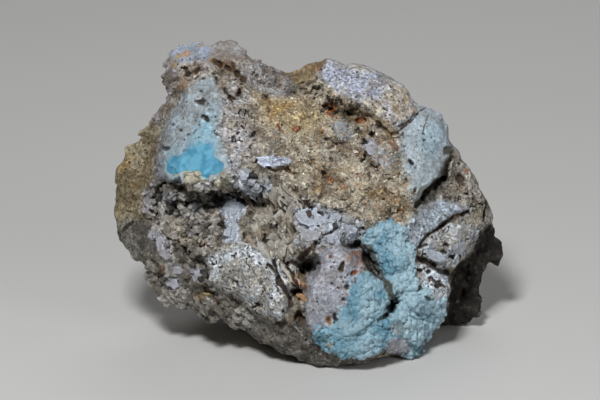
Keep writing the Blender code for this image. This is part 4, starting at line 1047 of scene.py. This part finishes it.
def thinned(mesh, triangles):
    """The mesh with no more than a number of triangles, coarser at the back than in front."""
    normals = averaged(normals_of(mesh), edges_of(mesh), 3)
    count = sum(len(p.vertices) - 2 for p in mesh.polygons)
    if count <= triangles:
        return mesh
    keep = 0.25 + 0.75 * smooth(-0.4, 0.1, normals[:, 2])
    holder = bpy.data.objects.new("thinned", mesh)
    group = holder.vertex_groups.new(name="kept")
    for step in range(KEEP_STEPS + 1):
        alike = np.flatnonzero(np.rint(keep * KEEP_STEPS) == step)
        group.add(alike.tolist(), step / KEEP_STEPS, "REPLACE")
    return with_modifier(
        holder, "DECIMATE", ratio=triangles / count, vertex_group=group.name, invert_vertex_group=True
    )


def place_piece(mesh, name, material, crisp=180.0):
    """Puts a finished mesh in the scene as a piece of the stone, its edges over an angle crisp."""
    settle(mesh)
    mesh.name = name
    mesh.shade_smooth()
    mesh.set_sharp_from_angle(angle=math.radians(crisp))
    mesh.materials.clear()
    mesh.materials.append(material)
    piece = bpy.data.objects.new(name, mesh)
    bpy.context.scene.collection.objects.link(piece)
    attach(piece, BODY)
    return piece


class Graph:
    """A material's nodes, added one call at a time."""

    def __init__(self, name):
        self.material = bpy.data.materials.new(name)
        self.material.use_nodes = True
        self.tree = self.material.node_tree
        self.shader = self.tree.nodes["Principled BSDF"]
        self.place = self.add("ShaderNodeTexCoord").outputs["Object"]

    def add(self, kind, values=(), **settings):
        """Adds a node, with settings, and values or links for its inputs by name or number."""
        node = self.tree.nodes.new(kind)
        for name, value in settings.items():
            setattr(node, name, value)
        for socket, value in dict(values).items():
            self.put(value, node.inputs[socket])
        return node

    def put(self, value, socket):
        """Links an output to a socket, or sets the socket's own value."""
        if isinstance(value, bpy.types.NodeSocket):
            self.tree.links.new(value, socket)
        else:
            socket.default_value = value

    def math(self, operation, *values):
        """One sum with numbers or outputs."""
        return self.add("ShaderNodeMath", enumerate(values), operation=operation).outputs[0]

    def times(self, first, second):
        """A product."""
        return self.math("MULTIPLY", first, second)

    def plus(self, first, second):
        """A sum of two values."""
        return self.math("ADD", first, second)

    def ramp(self, value, low, high, start=0.0, end=1.0):
        """An even step from start to end as value goes from low to high."""
        values = {"Value": value, 1: low, 2: high, 3: start, 4: end}
        return self.add("ShaderNodeMapRange", values, interpolation_type="SMOOTHSTEP").outputs[0]

    def mix(self, share, first, second, blend="MIX"):
        """Two colours mixed."""
        node = self.add("ShaderNodeMix", {0: share, 6: first, 7: second}, data_type="RGBA", blend_type=blend)
        return node.outputs[2]

    def shaded(self, base, value, span, tones, share=1.0):
        """A colour made darker or paler by an even step in a value."""
        return self.mix(share, base, self.ramp(value, *span, *tones), "MULTIPLY")

    def noise(self, size, detail=3.0, roughness=0.6):
        """Noise with swells of a size in millimetres, about 0.5."""
        values = {"Vector": self.place, "Scale": 1 / (size * MM), "Detail": detail, "Roughness": roughness}
        return self.add("ShaderNodeTexNoise", values).outputs["Fac"]

    def voronoi(self, size, place=None, feature="F1"):
        """Scattered cells of a size in millimetres."""
        values = {"Vector": place or self.place, "Scale": 1 / (size * MM)}
        return self.add("ShaderNodeTexVoronoi", values, feature=feature)

    def random(self, spots, channel=0):
        """A random value from 0 to 1 for each cell."""
        return self.add("ShaderNodeSeparateColor", {0: spots.outputs["Color"]}).outputs[channel]

    def dots(self, size, share):
        """Round dots in a share of the cells of a size, 1 in their middles."""
        spots = self.voronoi(size)
        dot = self.ramp(spots.outputs["Distance"], 0.18, 0.34, 1.0, 0.0)
        dot = self.times(dot, self.math("LESS_THAN", self.random(spots), share))
        return self.times(dot, self.ramp(self.random(spots, 1), 0.0, 0.6))

    def attribute(self, name, output="Fac"):
        """What was worked out at each vertex."""
        return self.add("ShaderNodeAttribute", attribute_name=name).outputs[output]

    def finished(self, base, roughness, relief, reach, strength):
        """The material, with its colour, its roughness and a bump whose reach is in millimetres."""
        values = {"Height": relief, "Distance": reach * MM, "Strength": strength}
        bump = self.add("ShaderNodeBump", values).outputs["Normal"]
        for name, value in (("Base Color", base), ("Roughness", roughness), ("Normal", bump)):
            self.put(value, self.shader.inputs[name])
        return self.material


def colour(tone):
    """A tone as a material's colour."""
    return (*rgb(tone), 1.0)


def rock_material():
    """Pitted rock: zones, blue patch, painted shade in hollows, painted highlights on crests, small pits and
    cracks darkened with painted shade and some brown, and grain.
    """
    g = Graph("hemimorphite_rock")
    hollow, crest = g.attribute("hollow"), g.attribute("crest")
    pitted, sugary, sky = g.attribute("pitted"), g.attribute("sugary"), g.attribute("sky")
    broad, medium, fine = g.noise(2.4, 4), g.noise(0.8, 4, 0.7), g.noise(0.28, 3, 0.7)

    base = g.attribute("ground", "Color")
    base = g.mix(g.ramp(broad, 0.5, 0.68, 0, 0.2), base, colour("tan"))
    speckled = g.ramp(g.math("MAXIMUM", pitted, sugary), 0.05, 0.7, 0.3, 1.0)
    base = g.shaded(base, medium, (0.36, 0.64), (0.66, 1.3), speckled)
    base = g.shaded(base, fine, (0.38, 0.62), (0.84, 1.14))

    speckle = g.random(g.voronoi(0.65))
    base = g.shaded(base, speckle, (0.0, 1.0), (0.66, 1.34), speckled)

    vein = g.noise(1.2, 5, 0.7)
    glassy_ground = g.ramp(sugary, 0.6, 1.0)
    ochre = g.times(glassy_ground, g.ramp(vein, 0.53, 0.6, 0.0, 0.6))
    base = g.mix(ochre, base, colour((168, 126, 70)))
    brown = g.times(glassy_ground, g.ramp(vein, 0.6, 0.65, 0.0, 0.8))
    base = g.mix(brown, base, colour((74, 50, 30)))

    halo = g.ramp(g.plus(sky, g.times(broad, 3.0)), -1.2, 2.4, 0, 0.6)
    base = g.mix(halo, base, colour((150, 184, 200)))
    blue = g.mix(g.ramp(broad, 0.38, 0.62), colour((74, 142, 176)), colour((104, 172, 200)))
    blue = g.shaded(blue, fine, (0.3, 0.7), (0.94, 1.05))
    edge = g.plus(sky, g.times(g.math("SUBTRACT", medium, 0.5), 1.2))
    rim = g.times(g.attribute("rim"), g.ramp(g.noise(1.3, 3), 0.42, 0.58, 0.2, 0.9))
    base = g.mix(rim, base, colour((192, 194, 172)))
    base = g.mix(g.ramp(edge, -0.1, 0.2), base, blue)

    # Painted shade: the hollows of the rock are darkened, less in the sugary zones.
    painted_shade = g.times(hollow, g.ramp(medium, 0.25, 0.6, 0.75, 1.0))
    painted_shade = g.times(painted_shade, g.ramp(sugary, 0.2, 1.0, 1.0, 0.5))
    base = g.mix(painted_shade, base, g.mix(g.ramp(broad, 0.4, 0.6), colour((34, 29, 23)), colour((66, 50, 34))))
    # Painted highlight: the crests of the rock are made paler.
    base = g.mix(g.times(crest, 0.8), base, (1.55, 1.55, 1.55, 1.0), "MULTIPLY")
    # Pits and cracks of the relief painted dark: painted shade inside them, with rust brown in the sugary
    # zones.
    deep = g.mix(g.ramp(sugary, 0.4, 0.9), colour((52, 43, 33)), colour((98, 66, 38)))
    base = g.mix(g.ramp(g.attribute("pore"), 0.15, 0.75, 0, 0.9), base, deep)

    # Small round dots painted dark: painted shade inside tiny pits.
    dot = g.math("MAXIMUM", g.dots(0.62, g.times(pitted, 0.45)),
                 g.dots(1.05, g.times(pitted, 0.4)))
    clear_of_sky = g.ramp(edge, -0.4, 0.1, 1.0, 0.0)
    dot = g.times(dot, clear_of_sky)
    inside = g.mix(g.ramp(broad, 0.4, 0.6), colour((50, 44, 34)), deep)
    base = g.mix(g.times(dot, 0.8), base, inside)
    # Fine cracks painted dark: painted shade inside them.
    bend = g.add("ShaderNodeTexNoise", {"Vector": g.place, "Scale": 1 / (1.1 * MM), "Detail": 2.0})
    shifted = g.add("ShaderNodeVectorMath", {0: bend.outputs["Color"], "Scale": 0.8 * MM}, operation="SCALE")
    bent = g.add("ShaderNodeVectorMath", {0: g.place, 1: shifted.outputs[0]}, operation="ADD")
    net = g.voronoi(1.5, bent.outputs[0], "DISTANCE_TO_EDGE")
    crack = g.ramp(net.outputs["Distance"], 0.02, 0.075, 1.0, 0.0)
    crack = g.times(crack, g.ramp(g.noise(1.5, 2), 0.55, 0.63))
    crack = g.times(crack, g.ramp(g.attribute("wormy"), 0.05, 0.6))
    crack = g.times(crack, clear_of_sky)
    base = g.mix(g.times(crack, 0.75), base, colour((48, 40, 31)))
    dot = g.math("MAXIMUM", dot, crack)

    shine = g.random(g.voronoi(0.5))
    glassy = g.times(sugary, g.ramp(shine, 0.3, 1.0))
    roughness = g.ramp(glassy, 0.0, 1.0, 0.86, 0.32)

    relief = g.times(fine, 0.5)
    relief = g.plus(relief, g.times(medium, 0.8))
    relief = g.math("SUBTRACT", relief, g.times(dot, 0.9))
    relief = g.plus(relief, g.times(g.times(sugary, shine), 0.5))
    relief = g.times(relief, g.ramp(edge, -0.2, 0.3, 1.0, 0.18))
    return g.finished(base, roughness, relief, 0.28, 0.9)


def block_material():
    """Angular blocks: chalky to waxy faces with fine grain and small dark pits."""
    g = Graph("pale_blocks")
    medium, fine = g.noise(0.8, 4, 0.7), g.noise(0.25, 3, 0.7)
    base = g.attribute("ground", "Color")
    base = g.shaded(base, medium, (0.3, 0.7), (0.7, 1.2))
    base = g.shaded(base, fine, (0.3, 0.7), (0.75, 1.2))
    relief = g.plus(g.times(fine, 0.5), g.times(medium, 0.8))
    return g.finished(base, g.ramp(medium, 0.35, 0.65, 0.4, 0.75), relief, 0.22, 0.9)


def druse_material():
    """Tiny glassy crystals: clear faces of many tones."""
    g = Graph("sugary_druse")
    medium, fine = g.noise(1.2, 3), g.noise(0.2, 3)
    base = g.attribute("ground", "Color")
    base = g.shaded(base, medium, (0.3, 0.7), (0.82, 1.15))
    return g.finished(base, g.ramp(fine, 0.3, 0.7, 0.18, 0.45), fine, 0.05, 0.5)


def crust_material():
    """Rounded turquoise growths: painted highlights on the tops, painted shade in the gaps, a fine-grained
    skin.
    """
    g = Graph("turquoise_crust")
    hollow, crest = g.attribute("hollow"), g.attribute("crest")
    broad, medium, fine = g.noise(3.0, 3), g.noise(0.9, 3), g.noise(0.22, 3, 0.7)
    base = g.attribute("ground", "Color")
    base = g.shaded(base, medium, (0.3, 0.7), (0.86, 1.1))
    base = g.shaded(base, fine, (0.3, 0.7), (0.88, 1.08))
    # Painted highlight: the tops of the growths are made paler.
    base = g.mix(g.times(crest, 0.6), base, colour((206, 222, 230)))
    # Painted shade in the gaps between the growths.
    shade = g.mix(broad, colour((48, 80, 88)), colour((62, 84, 76)))
    base = g.mix(g.times(hollow, 0.9), base, shade)
    relief = g.plus(g.times(fine, 0.6), g.times(medium, 0.5))
    return g.finished(base, 0.6, relief, 0.16, 0.8)


def ball():
    """A ball of radius 1, its corners and faces."""
    bm = bmesh.new()
    bmesh.ops.create_icosphere(bm, subdivisions=BALL_RINGS, radius=1.0)
    points = np.array([v.co[:] for v in bm.verts])
    faces = [tuple(v.index for v in face.verts) for face in bm.faces]
    bm.free()
    return points, faces


def crust_growths(tree, dice):
    """The rounded growths of the crust, each a ball partly sunk in the stone."""
    whole, sides = ball()
    corners, faces = [], []
    start = 0
    for spacing, radii, rise in GROWTHS:
        for x, u in scattered(CRUST, spacing, dice):
            if any(math.dist((x, u), middle) < reach for middle, reach in BARE):
                continue
            place, normal = on_face(tree, x, u)
            if place is None:
                continue
            radius = dice.uniform(*radii)
            middle = np.array(place) + np.array(normal) * (rise - 0.62) * radius
            stretch = np.array([dice.uniform(0.85, 1.15) for _ in range(3)])
            corners.append(whole * radius * stretch + middle)
            faces += [tuple(start + i for i in side) for side in sides]
            start += len(whole)
    return np.vstack(corners), faces


def crust_piece(form, dice):
    """The turquoise crust: one skin over its rounded growths."""
    solids = mesh_from(*crust_growths(tree_over(form), dice), "growths")
    mesh = evened(solids, CRUST_VOXEL)
    points, normals, edges = shape_of(mesh)
    for size, rise, seed in ((1.7, 0.3, 83), (0.9, 0.21, 84)):
        near, _, _, mark = cells(points, size, seed)
        points += ((0.6 + 0.8 * mark) * rise * (1 - (near / (0.62 * size)) ** 2))[:, None] * normals
    sunk = ((averaged(points, edges, 12) - points) * normals).sum(1)
    set_coordinates(mesh, points)
    pale, deep = rgb((162, 192, 206)), rgb((96, 146, 168))
    mixed = smooth(-0.35, 0.45, layered(points, 5.0, 82) + 0.03 * (14 - points[:, 0]))[:, None]
    ground = pale + (deep - pale) * mixed
    ground = stained(points, ground, np.ones(len(points)))
    add_attribute(mesh, "ground", ground)
    add_attribute(mesh, "hollow", smooth(0.02, 0.22, sunk))
    add_attribute(mesh, "crest", smooth(0.03, 0.4, -sunk))
    return thinned(mesh, CRUST_TRIANGLES)


def delete_crumbs(bm):
    """Deletes the shells of a mesh that have only a few faces."""
    unseen = set(bm.faces)
    crumbs = []
    for first in bm.faces:
        if first not in unseen:
            continue
        unseen.remove(first)
        shell = [first]
        for face in shell:
            for near in {beside for edge in face.edges for beside in edge.link_faces}:
                if near in unseen:
                    unseen.remove(near)
                    shell.append(near)
        if len(shell) < SMALLEST_SHELL:
            crumbs += shell
    bmesh.ops.delete(bm, geom=crumbs, context="FACES")


def cut(mesh, x, keep_left):
    """The part of a closed mesh on one side of a plane across the face, closed again."""
    bm = bmesh.new()
    bm.from_mesh(mesh)
    geometry = bm.verts[:] + bm.edges[:] + bm.faces[:]
    bmesh.ops.bisect_plane(
        bm, geom=geometry, plane_co=(x, 0, 0), plane_no=(1, 0, 0),
        clear_outer=keep_left, clear_inner=not keep_left
    )
    delete_crumbs(bm)
    rim = [edge for edge in bm.edges if edge.is_boundary]
    filled = bmesh.ops.holes_fill(bm, edges=rim, sides=0)
    bmesh.ops.triangulate(bm, faces=filled["faces"], ngon_method="EAR_CLIP")
    side = bpy.data.meshes.new("side")
    bm.to_mesh(side)
    bm.free()
    return side


def rock_pieces(form):
    """The rock in three parts, side by side, and what its crystals need to know of it."""
    mesh, tree = carved_rock(form)
    shares, colour = dress(mesh)
    points, normals, edges = shape_of(mesh)
    ground = {"points": points, "normals": normals, "edges": edges, "shares": shares,
              "colour": colour, "tree": tree}
    whole = thinned(mesh, ROCK_TRIANGLES)
    right_of_first = cut(whole, CUTS[0], False)
    parts = {
        "rock_left": cut(whole, CUTS[0], True),
        "rock_middle": cut(right_of_first, CUTS[1], True),
        "rock_right": cut(right_of_first, CUTS[1], False),
    }
    return parts, ground


def plate_piece(ground):
    """The listed plates and blocks, as one piece."""
    mesh = evened(plates(ground["tree"]), PLATE_VOXEL)
    points, normals, edges = shape_of(mesh)
    colour = rgb("white") * (1 + 0.12 * layered(points, 1.6, 92))[:, None]
    colour = stained(points, colour, np.ones(len(points)))
    points[:, 0] += 0.4 * layered(points, 1.3, 95)
    points[:, 1] += 0.4 * layered(points, 1.3, 96)
    points += (0.07 * layered(points, 0.9, 91))[:, None] * normals
    points += (0.12 * chunks(points, 2.2, 93, 0.3, 0.2))[:, None] * normals
    points[:, 2] += carved(points) * smooth(0.0, 0.3, normals[:, 2])
    set_coordinates(mesh, points)
    mark_hollows(mesh, edges)
    add_attribute(mesh, "ground", colour)
    plain = {"pore": 0.0, "sky": -4.0, "rim": 0.0, "pitted": 0.0, "sugary": 0.0, "wormy": 0.0}
    for name, value in plain.items():
        add_attribute(mesh, name, np.full(len(points), value))
    return thinned(mesh, PLATE_TRIANGLES)


def chosen(ground, weight, spacing, dice):
    """Vertices of the rock about spacing apart, taken where weight is high."""
    order = dice.permutation(len(weight))
    order = order[dice.random(len(order)) < weight[order]]
    cell = np.floor(ground["points"][order] / spacing).astype(np.int64) + 2048
    _, first = np.unique(cell @ np.array((1, 4096, 4096**2)), return_index=True)
    return order[np.sort(first)]


def axes_on(normals, angles, tilt, dice):
    """Axes of each crystal: along the surface at an angle, across it and out of it, a bit tilted."""
    out = unit(normals + dice.uniform(-tilt, tilt, normals.shape))
    along = np.column_stack([np.cos(angles), np.sin(angles), np.zeros(len(angles))])
    along = unit(along - (along * out).sum(1)[:, None] * out)
    return np.stack([along, np.cross(out, along), out], axis=1)


def blocks(spots, axes, sizes, corners, sink, dice):
    """Angular blocks, each a ring of corners at its foot and a smaller, slanted one on top."""
    count = len(spots)
    turn = (np.arange(corners) + dice.uniform(-0.28, 0.28, (count, corners))) * 2 * np.pi / corners
    turn += dice.uniform(0, 2 * np.pi, (count, 1)) * (corners % 2)
    reach = dice.uniform(0.8, 1.15, (count, corners)) / 2
    ring = np.stack([np.cos(turn) * reach * sizes[:, :1], np.sin(turn) * reach * sizes[:, 1:2]], axis=2)
    taper = dice.uniform(0.55, 0.92, (count, 1, 1))
    shift = dice.uniform(-0.12, 0.12, (count, 1, 2)) * sizes[:, None, :2]
    top = ring * taper + shift
    slope = dice.uniform(-0.4, 0.4, (count, 1, 2)) * (sizes[:, 2:3] / sizes[:, :1])[:, :, None]
    rise = sizes[:, 2:3] + (top * slope).sum(2)
    foot = np.concatenate([ring, np.full((count, corners, 1), 0.0) - sink], axis=2)
    head = np.concatenate([top, rise[:, :, None]], axis=2)
    local = np.concatenate([foot, head], axis=1)
    world = np.einsum("nij,njk->nik", local, axes) + spots[:, None, :]
    faces = []
    for i in range(corners):
        j = (i + 1) % corners
        faces += [(i, j, corners + j), (i, corners + j, corners + i)]
    for i in range(1, corners - 1):
        faces += [(corners, corners + i, corners + i + 1), (0, i + 1, i)]
    return world, np.array(faces)


def crystal_mesh(groups, name):
    """One mesh of many small closed blocks, each with its own tone and painted shade at its foot."""
    points, faces, colours = [], [], []
    start = 0
    for world, sides, tones in groups:
        count, corners = world.shape[:2]
        steps = start + corners * np.arange(count)
        faces.append((sides[None] + steps[:, None, None]).reshape(-1, 3))
        points.append(world.reshape(-1, 3))
        # Painted shade: the corners at each block's foot are darkened.
        depth = np.where(np.arange(corners) < corners // 2, 0.7, 1.0)
        colours.append((tones[:, None, :] * depth[None, :, None]).reshape(-1, 3))
        start += count * corners
    mesh = mesh_from(np.vstack(points), np.vstack(faces).tolist(), name)
    add_attribute(mesh, "ground", np.vstack(colours))
    return mesh


def blades(ground):
    """Angular blocks that stand in the broken parts of the rock, to be fused with it."""
    return crystal_mesh(block_groups(ground, FUSED, 0.5, np.random.default_rng(11)), "blades")


def block_groups(ground, kinds, tilt, dice):
    """The blocks of each kind, placed on the rock."""
    groups = []
    for zone, spacing, lengths, widths, heights, direction, spread in kinds:
        forward = ground["normals"][:, 2]
        share = ground["shares"][zone] * (forward < -0.85 if zone == "rest" else forward > BLOCK_FACING)
        picks = chosen(ground, np.where(share > 0.6, 0.6, 0.0), spacing, dice)
        sizes = np.column_stack([dice.uniform(*reach, len(picks)) for reach in (lengths, widths, heights)])
        angles = np.radians(direction + dice.uniform(-spread, spread, len(picks)))
        axes = axes_on(ground["normals"][picks], angles, tilt, dice)
        world, sides = blocks(ground["points"][picks], axes, sizes, 6, 0.9, dice)
        tones = ground.get("colour", np.ones_like(ground["points"]))[picks]
        groups.append((world, sides, tones * dice.uniform(0.8, 1.4, (len(picks), 1))))
    return groups


def block_piece(ground):
    """Crisp angular blocks and blades of the recess and of the zone beside it."""
    broad = unit(averaged(ground["normals"], ground["edges"], BROAD_ROUNDS))
    groups = block_groups({**ground, "normals": broad}, CRISP, 0.9, np.random.default_rng(13))
    return crystal_mesh(groups, "blocks")


def druse_piece(ground):
    """Tiny glassy crystals that make the surface sugary."""
    dice = np.random.default_rng(12)
    sugary = styled(ground["shares"], "sugary")
    weight = smooth(0.55, 1.0, sugary) * (ground["normals"][:, 2] > BLOCK_FACING)
    weight *= smooth(-0.1, 0.25, layered(ground["points"], 3.2, 94))
    picks = chosen(ground, weight, 0.9, dice)
    sizes = dice.uniform(0.5, 1.2, (len(picks), 3)) * (1.0, 0.9, 0.3)
    axes = axes_on(ground["normals"][picks], dice.uniform(0, 2 * np.pi, len(picks)), 0.8, dice)
    world, sides = blocks(ground["points"][picks], axes, sizes, 5, 0.25, dice)
    tones = ground["colour"][picks] * dice.uniform(0.95, 1.25, (len(picks), 1))
    return crystal_mesh([(world, sides, tones)], "druse")


def light(name, place, size, power):
    """A soft square light that looks at the stone."""
    lamp = bpy.data.lights.new(name, "AREA")
    lamp.size = size
    lamp.energy = power
    holder = bpy.data.objects.new(name, lamp)
    holder.location = place
    aim = Vector(FACE_CENTRE) * MM - Vector(place)
    holder.rotation_euler = aim.to_track_quat("-Z", "Y").to_euler()
    bpy.context.scene.collection.objects.link(holder)


def camera():
    """The camera at the photograph's viewing angle."""
    lens = bpy.data.cameras.new("camera")
    lens.sensor_width = SENSOR
    lens.lens = SENSOR * VIEW_DISTANCE / VIEW_WIDTH
    lens.shift_x = -OFF_MIDDLE_PIXELS / FRAME_PIXELS
    lens.shift_y = OFF_MIDDLE_PIXELS / FRAME_PIXELS
    holder = bpy.data.objects.new("camera", lens)
    lean = math.radians(FACE_LEAN)
    back = Vector((0.0, -math.cos(lean), math.sin(lean)))
    holder.location = Vector(FACE_CENTRE) * MM + back * VIEW_DISTANCE
    holder.rotation_euler = (-back).to_track_quat("-Z", "Y").to_euler()
    bpy.context.scene.collection.objects.link(holder)
    bpy.context.scene.camera = holder


def floor_under():
    """A plain pale floor."""
    bm = bmesh.new()
    bmesh.ops.create_grid(bm, x_segments=1, y_segments=1, size=FLOOR_SIZE)
    mesh = bpy.data.meshes.new("floor")
    bm.to_mesh(mesh)
    bm.free()
    floor = bpy.data.objects.new("floor", mesh)
    material = bpy.data.materials.new("pale_floor")
    material.use_nodes = True
    shader = material.node_tree.nodes["Principled BSDF"]
    shader.inputs["Base Color"].default_value = (0.62, 0.62, 0.61, 1.0)
    shader.inputs["Roughness"].default_value = 0.7
    mesh.materials.append(material)
    bpy.context.scene.collection.objects.link(floor)


def studio():
    """Soft light from above and the front, and a faint even one from all round."""
    for lamp in LIGHTS:
        light(*lamp)
    world = bpy.data.worlds.new("studio")
    world.use_nodes = True
    world.node_tree.nodes["Background"].inputs["Color"].default_value = (1.0, 1.0, 1.0, 1.0)
    world.node_tree.nodes["Background"].inputs["Strength"].default_value = WORLD_STRENGTH
    bpy.context.scene.world = world
    bpy.context.scene.view_settings.view_transform = "Standard"


camera()
floor_under()
studio()
stone_shape = stone_form()
rock_parts, rock_ground = rock_pieces(stone_shape)
stone_material = rock_material()
for part_name, part_mesh in rock_parts.items():
    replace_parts(place_piece(part_mesh, part_name, stone_material, 50.0), NODE)
place_piece(plate_piece(rock_ground), "white_plates", stone_material, 50.0)
place_piece(block_piece(rock_ground), "pale_blocks", block_material(), 1.0)
place_piece(druse_piece(rock_ground), "sugary_druse", druse_material(), 1.0)
place_piece(crust_piece(stone_shape, random.Random(4)), "turquoise_crust", crust_material())
